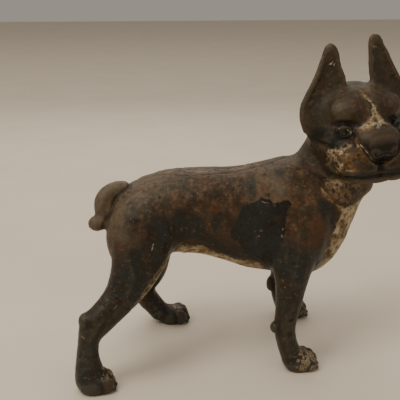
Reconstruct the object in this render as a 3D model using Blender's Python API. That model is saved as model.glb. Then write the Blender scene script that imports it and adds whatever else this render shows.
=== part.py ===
"""A cast iron doorstop: a standing terrier, cast hollow in two halves that two long screws hold together.

Run it with: blender --background --python part.py
Lengths are metres and +Z is up. The terrier faces +X, its right side is towards -Y, and it stands on Z = 0.

Forms are built first as solids of their own, as in clay: trunk, neck, limbs, muscles and features. They are
fused into one skin, the hollows between them are filled, and the marks of the face are cut. The skin is then
cast: divided at the seam, hollowed by a core, and drilled for the screws. Until the end the seam plane is
Y = 0; then the whole is set down over the middle of its own outline.

The tables of forms are drawn in millimetres at the drawn size of the figure. The named sizes below set how
large each form is made.
"""

import math

import bmesh
import bpy
import numpy as np
from mathutils import Matrix, Vector

# Main sizes: rump to chest, across the ribs, floor to the hollow of the back, across the cheeks
TRUNK_LENGTH = 0.1980
TRUNK_WIDTH = 0.0750
BACK_HEIGHT = 0.1550
HEAD_WIDTH = 0.0750

# Across the neck, across the shank of a leg, across the tail, and the tip of the ear above the eyes
NECK_WIDTH = 0.0620
SHANK_WIDTH = 0.0170
TAIL_WIDTH = 0.0160
EAR_HEIGHT = 0.0618

# Casting: its wall, the gap along the seam, and the clearance round each screw
WALL = 0.0055
SEAM_GAP = 0.0003
CLEARANCE = 0.0003

# Stance: how far each paw stands ahead of its hip or shoulder joint, and how far outside it
RIGHT_HIND_STEP = (-0.0370, 0.0275)
LEFT_HIND_STEP = (0.0260, 0.0285)
RIGHT_FRONT_STEP = (0.0010, 0.0170)
LEFT_FRONT_STEP = (0.0120, 0.0230)
PAW_LENGTH = 0.0320
PAW_WIDTH = 0.0270
PAW_HEIGHT = 0.0180

# Carriage of the head: its middle from the root of the neck, then how it is turned
HEAD_REACH = (0.0326, -0.0075, 0.0907)
HEAD_TURN = math.radians(-82)
HEAD_NOD = math.radians(3)
HEAD_TILT = math.radians(5)

# Eyes and ears
EYE_SPREAD = 0.0425
EYE_RADIUS = 0.0065
EAR_THICKNESS = 0.0068
RIGHT_EAR_SHORTER = 0.0030

# Screws, and the bosses and pockets that take them
SCREW_RADIUS = 0.003175
SCREW_HEAD_RADIUS = 0.0058
SCREW_HEAD_HEIGHT = 0.0036
SLOT_WIDTH = 0.0016
SLOT_DEPTH = 0.0018
THREAD_GRIP = 0.0130
POINT_LENGTH = 0.0009
BOSS_MARGIN = 0.0027
POCKET_DEPTH = 0.0026

# Surface resolution
CLAY_GRAIN = 0.0018
CORE_GRAIN = 0.0040
THINNEST_SECTION = 0.0020
STEP_LENGTH = 0.0030
BODY_FACES = 9400
CORE_FACES = 1500
RING_SIDES = 28
ROUND_SIDES = 28

# Metres for each drawn millimetre: of the body along, across and up, and of the other forms
BODY = Vector((TRUNK_LENGTH / 198, TRUNK_WIDTH / 75, BACK_HEIGHT / 155))
HEAD = Vector([HEAD_WIDTH / 75] * 3)
NECK_THICKNESS = NECK_WIDTH / 62
LEG_THICKNESS = SHANK_WIDTH / 17
TAIL_THICKNESS = TAIL_WIDTH / 16
EAR_RISE = EAR_HEIGHT / 61.8


def start_clean():
    """Empties the scene."""
    for old in list(bpy.data.objects):
        bpy.data.objects.remove(old)


def new_object(name, mesh, helper=False):
    """Links a mesh object. A helper is a cutter or a guide that is no part of the model."""
    made = bpy.data.objects.new(name, mesh)
    bpy.context.scene.collection.objects.link(made)
    if helper:
        made.hide_render = True
        made.display_type = "WIRE"
    return made


def iron(name, colour, roughness, metallic):
    """A Principled material for one kind of surface."""
    made = bpy.data.materials.new(name)
    made.use_nodes = True
    shader = made.node_tree.nodes["Principled BSDF"]
    shader.inputs["Base Color"].default_value = (*colour, 1.0)
    shader.inputs["Roughness"].default_value = roughness
    shader.inputs["Metallic"].default_value = metallic
    return made


def scaled(point, size):
    """A drawn point at its real size."""
    return Vector([value * share for value, share in zip(point, size)])


def eased(rows, spacing=STEP_LENGTH):
    """Rows of numbers, the first three a point, filled in along a smooth curve through them all."""
    rows = [np.array(row, float) for row in rows]
    rows = [2 * rows[0] - rows[1], *rows, 2 * rows[-1] - rows[-2]]
    filled = []
    for before, here, there, after in zip(rows, rows[1:], rows[2:], rows[3:]):
        count = max(1, round(np.linalg.norm(there[:3] - here[:3]) / spacing))
        for step in range(count):
            t = step / count
            slope = there - before
            bend = 2 * before - 5 * here + 4 * there - after
            twist = 3 * here - before - 3 * there + after
            filled.append(here + 0.5 * t * (slope + t * (bend + t * twist)))
    return [*filled, rows[-2]]


def bridge(bm, rings):
    """Skins a row of rings of equal count, and closes both ends."""
    made = [[bm.verts.new(point) for point in ring] for ring in rings]
    for first, second in zip(made, made[1:]):
        for i in range(len(first)):
            j = (i + 1) % len(first)
            bm.faces.new((first[i], first[j], second[j], second[i]))
    bm.faces.new(list(reversed(made[0])))
    bm.faces.new(made[-1])


def squared(angle, power):
    """Cosine and sine pulled towards a square: power 2 is a circle, more is boxier."""
    c, s = math.cos(angle), math.sin(angle)
    reach = (abs(c) ** power + abs(s) ** power) ** (-1 / power)
    return c * reach, s * reach


def add_barrel(bm, stations, skin):
    """The trunk: upright sections along X, each (x, top, bottom, half width, squareness).

    Skin is taken off all round.
    """
    along, across, up = BODY
    rows = []
    for x, top, bottom, half, power in stations:
        rows.append((x * along, 0, 0, top * up, bottom * up, half * across, power))
    rings = []
    for x, _, _, top, bottom, half, power in eased(rows):
        rise, wide = (top - bottom) / 2 - skin, half - skin
        if min(rise, wide) < THINNEST_SECTION:
            continue
        turns = [2 * math.pi * i / RING_SIDES for i in range(RING_SIDES)]
        points = [squared(turn, power) for turn in turns]
        middle = (top + bottom) / 2
        rings.append([Vector((x, wide * c, middle + rise * s)) for c, s in points])
    bridge(bm, rings)


def add_limb(bm, joints, skin=0.0):
    """A limb: round sections square to a smooth line through the joints.

    Each joint is (x, y, z, depth, width): half sizes in the plane of the limb's bend and across it.
    """
    rows = eased(joints)
    rings = []
    for i, row in enumerate(rows):
        before, after = rows[max(0, i - 1)], rows[min(len(rows) - 1, i + 1)]
        along = Vector(after[:3] - before[:3]).normalized()
        deep = Vector((0, 1, 0)).cross(along).normalized()
        wide = along.cross(deep)
        centre = Vector(row[:3])
        deep *= row[3] - skin
        wide *= row[4] - skin
        turns = [2 * math.pi * k / RING_SIDES for k in range(RING_SIDES)]
        rings.append([centre + deep * math.cos(turn) + wide * math.sin(turn) for turn in turns])
    bridge(bm, rings)


def add_lump(bm, centre, radii, turn=(0, 0, 0), power=2.0, skin=0.0, size=BODY, place=Matrix()):
    """A muscle or a pad: a ball stretched to its radii, turned in degrees about X, Y and Z.

    The centre and the radii are drawn, and size makes them real. A power over 2 makes it boxier.
    """
    made = bmesh.ops.create_icosphere(bm, subdivisions=3, radius=1)["verts"]
    turned = Matrix.Identity(3)
    for angle, axis in zip(turn, "XYZ"):
        turned = Matrix.Rotation(math.radians(angle), 3, axis) @ turned
    centre, radii = scaled(centre, size), scaled(radii, size)
    for vert in made:
        x, y, z = vert.co
        reach = (abs(x) ** power + abs(y) ** power + abs(z) ** power) ** (-1 / power)
        stretched = Vector([value * reach * (radius - skin) for value, radius in zip((x, y, z), radii)])
        vert.co = place @ (turned @ stretched + centre)


def head_place():
    """The head's own frame: X out through the nose, Y to the left ear, Z through the crown."""
    return (
        Matrix.Translation(scaled(NECK_ROOT, BODY) + Vector(HEAD_REACH))
        @ Matrix.Rotation(HEAD_TURN, 4, "Z")
        @ Matrix.Rotation(HEAD_NOD, 4, "Y")
        @ Matrix.Rotation(HEAD_TILT, 4, "X")
    )


# Trunk: x, top, bottom, half width, squareness
TRUNK = [
    (-86.5, 127.0, 110.0, 10.0, 2.0),
    (-81.5, 134.5, 100.0, 22.0, 2.1),
    (-69.0, 142.5, 91.0, 30.0, 2.3),
    (-54.0, 149.5, 87.0, 32.5, 2.4),
    (-36.0, 154.0, 89.5, 32.0, 2.5),
    (-14.0, 155.0, 89.0, 32.5, 2.6),
    (6.0, 154.5, 83.0, 34.0, 2.6),
    (23.0, 155.5, 76.0, 36.0, 2.5),
    (42.0, 159.0, 70.5, 37.5, 2.4),
    (60.0, 162.5, 66.5, 37.0, 2.4),
    (76.0, 160.5, 65.0, 34.5, 2.3),
    (90.0, 151.0, 71.0, 30.0, 2.2),
    (100.0, 140.0, 82.0, 25.0, 2.1),
    (107.0, 130.0, 96.0, 18.0, 2.0),
    (111.5, 120.0, 107.0, 8.0, 2.0),
]

# Root of the neck, then the neck from the root (0) to the middle of the head (1): share of the way, how far
# ahead and aside of the straight line it lies, half its depth and half its width
NECK_ROOT = (74.0, 0.0, 105.0)
NECK = [
    (0.000, 0.0, 0.0, 35.5, 26.0),
    (0.250, 1.7, 1.9, 34.5, 31.0),
    (0.485, 4.2, 2.6, 31.5, 30.0),
    (0.680, 4.7, 2.1, 28.8, 29.5),
    (0.880, 2.3, 1.6, 27.0, 29.0),
]

# Hip and shoulder joints: ahead, outside the seam plane, up
RIGHT_HIP = (-60.0, 24.0, 118.0)
LEFT_HIP = (-54.0, 24.0, 118.0)
RIGHT_SHOULDER = (62.0, 26.0, 115.0)
LEFT_SHOULDER = (70.0, 26.0, 115.0)

# Legs: height, how far ahead and outside of the straight line from joint to paw, half the depth and width
RIGHT_HIND_LEG = [
    (118.0, 0.0, 0.0, 23.0, 16.0),
    (100.0, 4.1, 1.8, 22.5, 17.0),
    (85.0, 2.8, 5.3, 18.0, 15.5),
    (70.0, -2.4, 7.8, 13.0, 13.0),
    (59.0, -10.5, 9.8, 11.2, 11.0),
    (50.0, -17.2, 10.2, 10.8, 10.0),
    (38.0, -16.9, 7.9, 7.4, 8.2),
    (26.0, -14.2, 5.6, 8.2, 8.6),
    (12.0, -8.8, 2.8, 10.5, 10.5),
    (5.0, -5.1, 1.2, 11.0, 11.0),
]
LEFT_HIND_LEG = [
    (118.0, 0.0, 0.0, 23.0, 16.0),
    (98.0, -0.4, 1.2, 22.5, 16.5),
    (81.0, -2.2, 3.1, 18.0, 15.0),
    (65.0, -5.2, 5.2, 15.0, 13.0),
    (51.0, -11.3, 6.3, 13.5, 11.5),
    (39.0, -19.9, 6.9, 12.2, 10.2),
    (28.0, -19.8, 5.8, 10.0, 9.0),
    (17.0, -15.3, 4.1, 9.5, 9.5),
    (8.0, -11.2, 1.9, 10.0, 11.0),
]
RIGHT_FRONT_LEG = [
    (115.0, 0.0, 0.0, 20.0, 15.0),
    (90.0, -5.2, 3.3, 17.5, 14.5),
    (72.0, -7.4, 5.1, 13.0, 12.5),
    (57.0, -9.5, 5.4, 10.6, 10.5),
    (44.0, -11.8, 5.0, 9.0, 9.2),
    (33.0, -12.7, 4.4, 8.2, 8.5),
    (20.0, -10.3, 3.0, 8.2, 9.0),
    (9.0, -5.9, 1.3, 9.0, 10.0),
]
LEFT_FRONT_LEG = [
    (115.0, 0.0, 0.0, 20.0, 15.0),
    (90.0, -1.6, 3.0, 17.0, 14.5),
    (70.0, -3.7, 5.0, 12.8, 12.5),
    (55.0, -6.3, 6.0, 10.6, 10.5),
    (43.0, -9.0, 6.1, 9.0, 9.2),
    (32.0, -10.7, 5.4, 8.2, 8.5),
    (19.0, -9.5, 3.8, 8.2, 9.0),
    (9.0, -6.1, 1.8, 9.0, 10.0),
]

# Tail: centre, then half its depth and half its width
TAIL = [
    (-64.0, 0.0, 137.5, 6.2, 8.0),
    (-72.0, -2.0, 141.5, 6.3, 8.0),
    (-78.5, -4.5, 142.0, 6.4, 7.8),
    (-84.5, -6.5, 139.5, 6.5, 7.5),
    (-88.0, -8.0, 134.0, 6.6, 7.2),
    (-88.5, -9.5, 127.0, 6.0, 6.6),
    (-88.5, -10.5, 120.5, 5.0, 5.5),
]
TAIL_TIP = [
    (-85.5, -15.0, 119.0, 3.6, 3.6),
    (-89.0, -14.0, 117.5, 4.4, 4.4),
    (-93.0, -13.0, 116.0, 4.9, 4.9),
    (-96.5, -12.5, 115.0, 4.2, 4.2),
    (-99.0, -12.0, 114.5, 1.8, 1.8),
]

# Left ear in the head's frame: height, its inner edge (x, y), its outer edge (x, y), depth of the cup
EAR = [
    (-14.0, (15.0, 30.0), (5.0, 37.0), 0.0),
    (-5.0, (18.5, 29.0), (4.0, 43.0), 1.8),
    (5.0, (18.5, 27.5), (3.5, 45.5), 4.0),
    (14.0, (16.5, 23.5), (3.5, 44.5), 5.6),
    (22.0, (13.0, 14.5), (4.0, 40.5), 6.0),
    (30.0, (10.0, 11.0), (4.5, 36.0), 5.0),
    (38.0, (8.0, 11.0), (4.0, 31.5), 4.2),
    (46.0, (6.5, 11.7), (3.5, 27.5), 3.0),
    (53.0, (5.0, 12.3), (3.0, 24.2), 1.6),
    (58.0, (4.0, 13.4), (3.0, 22.5), 0.6),
    (60.5, (3.5, 14.8), (3.0, 21.1), 0.2),
    (61.8, (3.3, 16.7), (3.1, 19.2), 0.0),
]

# Marks cut into the face, seen from the front: a path of side and height in the head's frame, then the width
# and depth of the cut. Each is cut on both sides.
FACE_CUTS = [
    ([(0.0, 24.0), (0.0, 14.0), (0.0, 6.0)], 5.0, 1.0),
    ([(9.0, 4.0), (14.0, 5.8), (21.0, 6.2), (27.5, 3.0), (30.0, -2.0)], 2.6, 1.2),
    ([(13.0, -4.0), (16.5, -8.2), (22.0, -10.0), (27.5, -7.5)], 2.4, 1.1),
    ([(20.5, 22.0), (27.5, 18.0), (32.0, 10.0), (33.0, 1.0), (32.5, -8.0)], 5.6, 2.2),
    ([(18.5, -3.0), (19.0, -10.0), (15.5, -18.0), (9.0, -23.5), (0.0, -25.0)], 2.8, 1.2),
    ([(0.0, -24.0), (0.0, -33.0)], 2.2, 0.8),
    ([(0.0, -33.5), (8.0, -35.0), (16.0, -36.0), (25.0, -34.5)], 2.6, 1.8),
    ([(31.0, -14.0), (33.5, -22.0), (31.0, -31.0)], 3.2, 1.2),
    ([(4.8, -15.0), (8.0, -16.5)], 2.2, 1.4),
]

# Hollows along the flank, seen from the side: along and up, then width and depth. Each is cut on both sides.
FLANK_CUTS = [
    ([(40.0, 145.0), (34.0, 125.0), (36.0, 103.0), (43.0, 85.0)], 10.0, 1.4),
    ([(-27.0, 128.0), (-30.0, 108.0), (-34.0, 92.0)], 9.0, 1.4),
    ([(89.0, 128.0), (88.0, 110.0), (83.0, 92.0)], 8.0, 1.2),
]


# Screws: where each lies across the seam, along and up
FRONT_SCREW = (40.0 * BODY.x, 118.0 * BODY.z)
REAR_SCREW = (-44.0 * BODY.x, 126.0 * BODY.z)


def add_neck(bm, skin):
    """The neck, from between the shoulders to under the skull."""
    root = scaled(NECK_ROOT, BODY)
    joints = []
    for share, ahead, aside, deep, wide in NECK:
        centre = root + Vector(HEAD_REACH) * share + scaled((ahead, aside, 0), BODY)
        joints.append((*centre, deep * NECK_THICKNESS, wide * NECK_THICKNESS))
    add_limb(bm, joints, skin)


def add_skull(bm, skin):
    """The hollow part of the head."""
    place = head_place()
    add_lump(bm, (-4, 0, -2), (31.0, 31.0, 24.0), power=2.3, skin=skin, size=HEAD, place=place)
    add_lump(bm, (10, 0, 2), (23.0, 27.5, 23.5), power=2.6, skin=skin, size=HEAD, place=place)


def add_face(bm):
    """Muzzle, stop, chin, brows, cheeks and lips."""
    head = {"size": HEAD, "place": head_place()}
    add_lump(bm, (35.5, 0, -11), (15.5, 17.8, 13.5), power=2.7, **head)
    add_lump(bm, (22, 0, 6), (15.0, 12.0, 15.0), **head)
    add_lump(bm, (30, 0, -34), (16.0, 24.0, 8.5), power=2.8, **head)
    for side in (-1, 1):
        add_lump(bm, (19, side * 14.5, 10), (14.5, 14.0, 11.5), **head)
        add_lump(bm, (7, side * 24.5, -13), (22.0, 13.0, 18.5), **head)
        add_lump(bm, (31.5, side * 17.5, -23), (16.5, 14.0, 13.5), power=2.3, **head)


def add_ear(bm, side):
    """One ear: a cupped, pointed plate whose hollow faces forward and out. Side is -1 for the right ear."""
    place = head_place()
    short = RIGHT_EAR_SHORTER if side < 0 else 0.0
    tip = EAR[-1][0]
    rows = []
    for high, inner, outer, cup in EAR:
        lift = high * EAR_RISE - short * max(0.0, high / tip) ** 2
        rows.append((lift, 0, 0, *inner, *outer, cup))
    rings = []
    for lift, _, _, in_x, in_y, out_x, out_y, cup in eased(rows):
        inner = Vector((in_x * HEAD.x, side * in_y * HEAD.y, lift))
        outer = Vector((out_x * HEAD.x, side * out_y * HEAD.y, lift))
        across = (outer - inner) / 2
        facing = Vector((abs(across.y), side * abs(across.x), 0)).normalized()
        thick = min(EAR_THICKNESS / 2, across.length)
        ring = []
        for k in range(RING_SIDES):
            c, s = squared(side * 2 * math.pi * k / RING_SIDES, 2.2)
            hollow = cup * HEAD.x * (1 - c * c)
            ring.append(place @ ((inner + outer) / 2 + across * c + facing * (thick * s - hollow)))
        rings.append(ring)
    bridge(bm, rings)


def paw_place(joint, step, side):
    """The middle of a paw on the floor, from its hip or shoulder joint."""
    ahead, aside, _ = scaled(joint, BODY)
    return Vector((ahead + step[0], side * (aside + step[1]), 0))


def beside_leg(joint, step, side, height, ahead, aside):
    """A point of a leg, from its height and its distance from the straight line from joint to paw."""
    top = scaled((joint[0], side * joint[1], joint[2]), BODY)
    straight = top.lerp(paw_place(joint, step, side), 1 - height / joint[2])
    return straight + Vector((ahead, side * aside, 0)) * LEG_THICKNESS


LEGS = [
    (RIGHT_HIP, RIGHT_HIND_STEP, -1, RIGHT_HIND_LEG),
    (LEFT_HIP, LEFT_HIND_STEP, 1, LEFT_HIND_LEG),
    (RIGHT_SHOULDER, RIGHT_FRONT_STEP, -1, RIGHT_FRONT_LEG),
    (LEFT_SHOULDER, LEFT_FRONT_STEP, 1, LEFT_FRONT_LEG),
]


def add_legs(bm):
    """The four legs."""
    for joint, step, side, rows in LEGS:
        joints = []
        for height, ahead, aside, deep, wide in rows:
            centre = beside_leg(joint, step, side, height, ahead, aside)
            joints.append((*centre, deep * LEG_THICKNESS, wide * LEG_THICKNESS))
        add_limb(bm, joints)


def add_muscles(bm):
    """Thighs, shoulders, the folds of the throat and the nape, and the points of the hocks."""
    add_lump(bm, (-59, -21, 111), (27.5, 21.5, 33.0), turn=(0, 15, 0))
    add_lump(bm, (-55, 21, 111), (27.5, 21.5, 33.0), turn=(0, 15, 0))
    add_lump(bm, (65, -23, 106), (25.0, 19.0, 40.0), turn=(0, 12, 0))
    add_lump(bm, (69, 23, 106), (25.0, 19.0, 40.0), turn=(0, 12, 0))
    add_lump(bm, (105, -4, 147), (24.5, 23.0, 17.0), turn=(0, 25, 0))
    add_lump(bm, (100.4, 4, 176), (23.4, 22.0, 24.0))
    leg = Vector([LEG_THICKNESS] * 3)
    right = beside_leg(RIGHT_HIP, RIGHT_HIND_STEP, -1, 56, -24.1, 12.1) / LEG_THICKNESS
    left = beside_leg(LEFT_HIP, LEFT_HIND_STEP, 1, 40, -28.2, 7.7) / LEG_THICKNESS
    add_lump(bm, right, (6.2, 6.8, 6.0), turn=(0, 30, 0), size=leg)
    add_lump(bm, left, (7.5, 7.0, 6.5), size=leg)


def add_wrists(bm):
    """The pad at the back of each wrist."""
    leg = Vector([LEG_THICKNESS] * 3)
    right = beside_leg(RIGHT_SHOULDER, RIGHT_FRONT_STEP, -1, 36.2, -20.7, 4.9) / LEG_THICKNESS
    left = beside_leg(LEFT_SHOULDER, LEFT_FRONT_STEP, 1, 34, -17.5, 5.8) / LEG_THICKNESS
    for centre in (right, left):
        add_lump(bm, centre, (4.6, 5.2, 5.0), size=leg)


def add_tail(bm, rows):
    """The tail or its tip, from its table."""
    joints = [(*scaled(row[:3], BODY), row[3] * TAIL_THICKNESS, row[4] * TAIL_THICKNESS) for row in rows]
    add_limb(bm, joints)


def add_paws(bm, toes_only):
    """The four paws, flat below: first their bodies, then, fused on later, their toes."""
    size = Vector((PAW_LENGTH, PAW_WIDTH, PAW_HEIGHT))
    for joint, step, side, _ in LEGS:
        place = Matrix.Translation(paw_place(joint, step, side))
        paw = {"size": size, "place": place}
        if not toes_only:
            add_lump(bm, (-0.04, 0, 0.34), (0.46, 0.45, 0.54), power=2.4, **paw)
            continue
        for half in (-1, 1):
            add_lump(bm, (0.230, half * 0.345, 0.40), (0.21, 0.15, 0.50), **paw)
            add_lump(bm, (0.295, half * 0.125, 0.40), (0.21, 0.15, 0.56), **paw)
        add_lump(bm, (-0.28, 0, 0.25), (0.20, 0.36, 0.42), **paw)


def add_features(bm):
    """The crisp forms that are fused on after the soft ones: eyes, nose, tail tip, toes and wrist pads."""
    head = {"size": HEAD, "place": head_place()}
    eye = {"size": (1, 1, 1), "place": head_place()}
    for side in (-1, 1):
        middle = scaled((27.5, 0, -1.8), HEAD) + Vector((0, side * EYE_SPREAD / 2, 0))
        add_lump(bm, middle, (EYE_RADIUS,) * 3, **eye)
        add_lump(bm, (48, side * 5.5, -15), (4.8, 6.6, 5.8), **head)
    add_lump(bm, (46.2, 0, -11.5), (6.2, 12.0, 8.5), power=2.3, **head)
    add_tail(bm, TAIL_TIP)
    add_paws(bm, toes_only=True)
    add_wrists(bm)


class Clay:
    """A closed grid of quads that can be softened and pushed like modelling clay."""

    def __init__(self, mesh):
        count = len(mesh.vertices)
        self.points = np.empty(count * 3, np.float32)
        mesh.vertices.foreach_get("co", self.points)
        self.points = self.points.reshape(-1, 3).astype(float)
        self.edges = np.empty(len(mesh.edges) * 2, np.int32)
        mesh.edges.foreach_get("vertices", self.edges)
        self.edges = self.edges.reshape(-1, 2)
        self.quads = np.empty(len(mesh.polygons) * 4, np.int32)
        mesh.polygons.foreach_get("vertices", self.quads)
        self.quads = self.quads.reshape(-1, 4)
        ends = self.edges.ravel()
        self.neighbours = np.bincount(ends, minlength=count)

    def normals(self):
        """The outward direction at each point."""
        corner = self.points[self.quads]
        faces = np.cross(corner[:, 2] - corner[:, 0], corner[:, 3] - corner[:, 1])
        total = np.zeros_like(self.points)
        for axis in range(3):
            weights = np.repeat(faces[:, axis], 4)
            total[:, axis] = np.bincount(self.quads.ravel(), weights, len(self.points))
        return total / np.linalg.norm(total, axis=1)[:, None]

    def pull(self):
        """From each point to the middle of its neighbours."""
        a, b = self.edges.T
        total = np.zeros_like(self.points)
        for axis in range(3):
            value = self.points[:, axis]
            total[:, axis] = np.bincount(a, value[b], len(value)) + np.bincount(b, value[a], len(value))
        return total / self.neighbours[:, None] - self.points

    def fill_creases(self, times):
        """Softens hollows alone, so that forms run into each other and keep their size."""
        for turn in range(times):
            if turn % 4 == 0:
                normals = self.normals()
            pull = self.pull()
            outward = (pull * normals).sum(axis=1)[:, None]
            self.points += 0.5 * pull - 0.5 * np.minimum(outward, 0) * normals * 0.97

    def soften(self, times):
        """Evens the surface and keeps its volume, by a step in and a step back out."""
        for _ in range(times):
            self.points += 0.50 * self.pull()
            self.points -= 0.52 * self.pull()

    def carve(self, path, width, depth, view, zone):
        """Cuts a soft groove beside a path, as seen along the view, in skin that faces it inside the zone."""
        view = np.array(view, float)
        aside = np.cross(view, (0, 0, 1) if abs(view[2]) < 0.9 else (0, 1, 0))
        aside /= np.linalg.norm(aside)
        flat = np.stack((aside, np.cross(aside, view)))
        near = np.linalg.norm(self.points - np.array(zone[0]), axis=1) < zone[1]
        places = self.points[near] @ flat.T
        marks = np.array([tuple(mark) for mark in path]) @ flat.T
        away = np.full(len(places), np.inf)
        for start, end in zip(marks, marks[1:]):
            run = end - start
            share = np.clip(((places - start) @ run) / max(run @ run, 1e-12), 0, 1)
            away = np.minimum(away, np.linalg.norm(places - start - share[:, None] * run, axis=1))
        normals = self.normals()[near]
        facing = np.clip(normals @ view * 2.5, 0, 1)
        bite = depth * facing * np.clip(1 - (away / width) ** 2, 0, 1) ** 2
        self.points[near] -= normals * bite[:, None]

    def store(self, mesh):
        """Writes the points back into the mesh they came from."""
        mesh.vertices.foreach_set("co", self.points.astype(np.float32).ravel())
        mesh.update()


def evaluated_mesh(source):
    """The mesh that an object's modifiers make of it."""
    graph = bpy.context.evaluated_depsgraph_get()
    return bpy.data.meshes.new_from_object(source.evaluated_get(graph))


def fused(name, bm, grain):
    """One closed skin round all the forms in bm."""
    mesh = bpy.data.meshes.new(name)
    bm.to_mesh(mesh)
    bm.free()
    made = new_object(name, mesh, helper=True)
    remesh = made.modifiers.new("fuse", "REMESH")
    remesh.mode = "VOXEL"
    remesh.voxel_size = grain
    made.data = evaluated_mesh(made)
    made.modifiers.clear()
    return made


def thinned(made, faces):
    """Fewer, unequal triangles where the surface is plain."""
    share = min(1.0, faces / (2 * len(made.data.polygons)))
    thin = made.modifiers.new("thin", "DECIMATE")
    thin.ratio = share
    made.data = evaluated_mesh(made)
    made.modifiers.clear()
    return made


def cut_marks(clay):
    """Cuts the lines of the face and the hollows of the flanks."""
    place = head_place()
    ahead = (place.to_3x3() @ Vector((1, 0, 0))).normalized()
    face = (place.translation, HEAD_WIDTH * 0.87)
    for marks, width, depth in FACE_CUTS:
        for side in (-1, 1) if any(aside for aside, _ in marks) else (1,):
            path = [place @ scaled((0, side * aside, high), HEAD) for aside, high in marks]
            clay.carve(path, width * HEAD.x, depth * HEAD.x, ahead, face)
    flank = (scaled((0, 0, 110), BODY), TRUNK_LENGTH * 0.66)
    for marks, width, depth in FLANK_CUTS:
        path = [scaled((along, 0, high), BODY) for along, high in marks]
        for side in (-1, 1):
            clay.carve(path, width * BODY.x, depth * BODY.y, (0, side, 0), flank)


def sculpt_terrier():
    """The whole outside of the terrier as one closed skin."""
    bm = bmesh.new()
    add_barrel(bm, TRUNK, 0.0)
    add_neck(bm, 0.0)
    add_skull(bm, 0.0)
    add_legs(bm)
    add_muscles(bm)
    add_paws(bm, toes_only=False)
    add_tail(bm, TAIL)
    add_face(bm)
    for side in (-1, 1):
        add_ear(bm, side)
    soft = fused("soft_form", bm, CLAY_GRAIN)
    clay = Clay(soft.data)
    clay.fill_creases(26)
    clay.store(soft.data)

    bm = bmesh.new()
    bm.from_mesh(soft.data)
    bpy.data.objects.remove(soft)
    add_features(bm)
    made = fused("terrier_form", bm, CLAY_GRAIN)
    clay = Clay(made.data)
    clay.fill_creases(5)
    clay.soften(2)
    cut_marks(clay)
    clay.store(made.data)
    return made


def combine(target, tool, operation):
    """Replaces a closed skin by its union with, its difference from or its overlap with another."""
    step = target.modifiers.new(operation.lower(), "BOOLEAN")
    step.operation = operation
    step.solver = "EXACT"
    step.object = tool
    target.data = evaluated_mesh(target)
    target.modifiers.clear()
    bpy.data.objects.remove(tool)


def block(low, high):
    """A cutting block between two corners."""
    bm = bmesh.new()
    bmesh.ops.create_cube(bm, size=1)
    for vert in bm.verts:
        vert.co = (low + high) / 2 + scaled(vert.co, high - low)
    mesh = bpy.data.meshes.new("block")
    bm.to_mesh(mesh)
    bm.free()
    return new_object("block", mesh, helper=True)


def turned(name, at, profile, helper=False):
    """A solid turned about an axis along Y through (x, z). The profile lists (y, radius), y rising."""
    bm = bmesh.new()
    rings = []
    for y, radius in profile:
        turns = [2 * math.pi * (k + 0.5) / ROUND_SIDES for k in range(ROUND_SIDES)]
        rings.append([Vector((at[0] + radius * math.sin(t), y, at[1] + radius * math.cos(t))) for t in turns])
    bridge(bm, rings)
    mesh = bpy.data.meshes.new(name)
    bm.to_mesh(mesh)
    bm.free()
    return new_object(name, mesh, helper)


def span(made):
    """The lowest and the highest corner of an object's mesh."""
    points = [vert.co for vert in made.data.vertices]
    low = Vector([min(point[axis] for point in points) for axis in range(3)])
    high = Vector([max(point[axis] for point in points) for axis in range(3)])
    return low, high


def foundry_core():
    """The hollow that the sand core leaves, with the bosses of both screws left standing in it."""
    bm = bmesh.new()
    add_barrel(bm, TRUNK, WALL)
    add_neck(bm, WALL)
    add_skull(bm, WALL)
    core = fused("core", bm, CORE_GRAIN)
    clay = Clay(core.data)
    clay.fill_creases(4)
    clay.store(core.data)
    thinned(core, CORE_FACES)
    boss = SCREW_HEAD_RADIUS + BOSS_MARGIN
    reach = TRUNK_WIDTH
    for at in (FRONT_SCREW, REAR_SCREW):
        combine(core, turned("boss", at, [(-reach, boss), (reach, boss)], helper=True), "DIFFERENCE")
    return core


def screw_seat(form, at):
    """How far from the seam plane the head of a screw sits, in its pocket in the left flank."""
    _, place, _, _ = form.ray_cast(Vector((at[0], TRUNK_LENGTH, at[1])), Vector((0, -1, 0)))
    return place.y - POCKET_DEPTH


def duplicate(source, name):
    """A second object with a mesh of its own."""
    made = source.copy()
    made.data = source.data.copy()
    made.name = name
    bpy.context.scene.collection.objects.link(made)
    return made


def casting(name, form, core, side, seats):
    """One half of the terrier, cut from the whole once that is cored and drilled.

    Side is -1 for the right half and 1 for the left.
    """
    made = duplicate(form, name)
    combine(made, duplicate(core, "hollow"), "DIFFERENCE")
    bore = SCREW_RADIUS + CLEARANCE
    pocket = SCREW_HEAD_RADIUS + 2 * CLEARANCE
    for at, seat in zip((FRONT_SCREW, REAR_SCREW), seats):
        if side < 0:
            point = -THREAD_GRIP - bore / 2
            profile = [(point, bore / 2), (-THREAD_GRIP, bore), (bore, bore)]
        else:
            profile = [(-bore, bore), (seat, bore), (seat, pocket), (seat + 4 * pocket, pocket)]
        combine(made, turned("bore", at, profile, helper=True), "DIFFERENCE")
    low, high = span(form)
    margin = Vector((WALL, WALL, WALL))
    low, high = low - margin, high + margin
    low.z = 0
    if side < 0:
        high.y = -SEAM_GAP / 2
    else:
        low.y = SEAM_GAP / 2
    combine(made, block(low, high), "INTERSECT")
    return made


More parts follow.
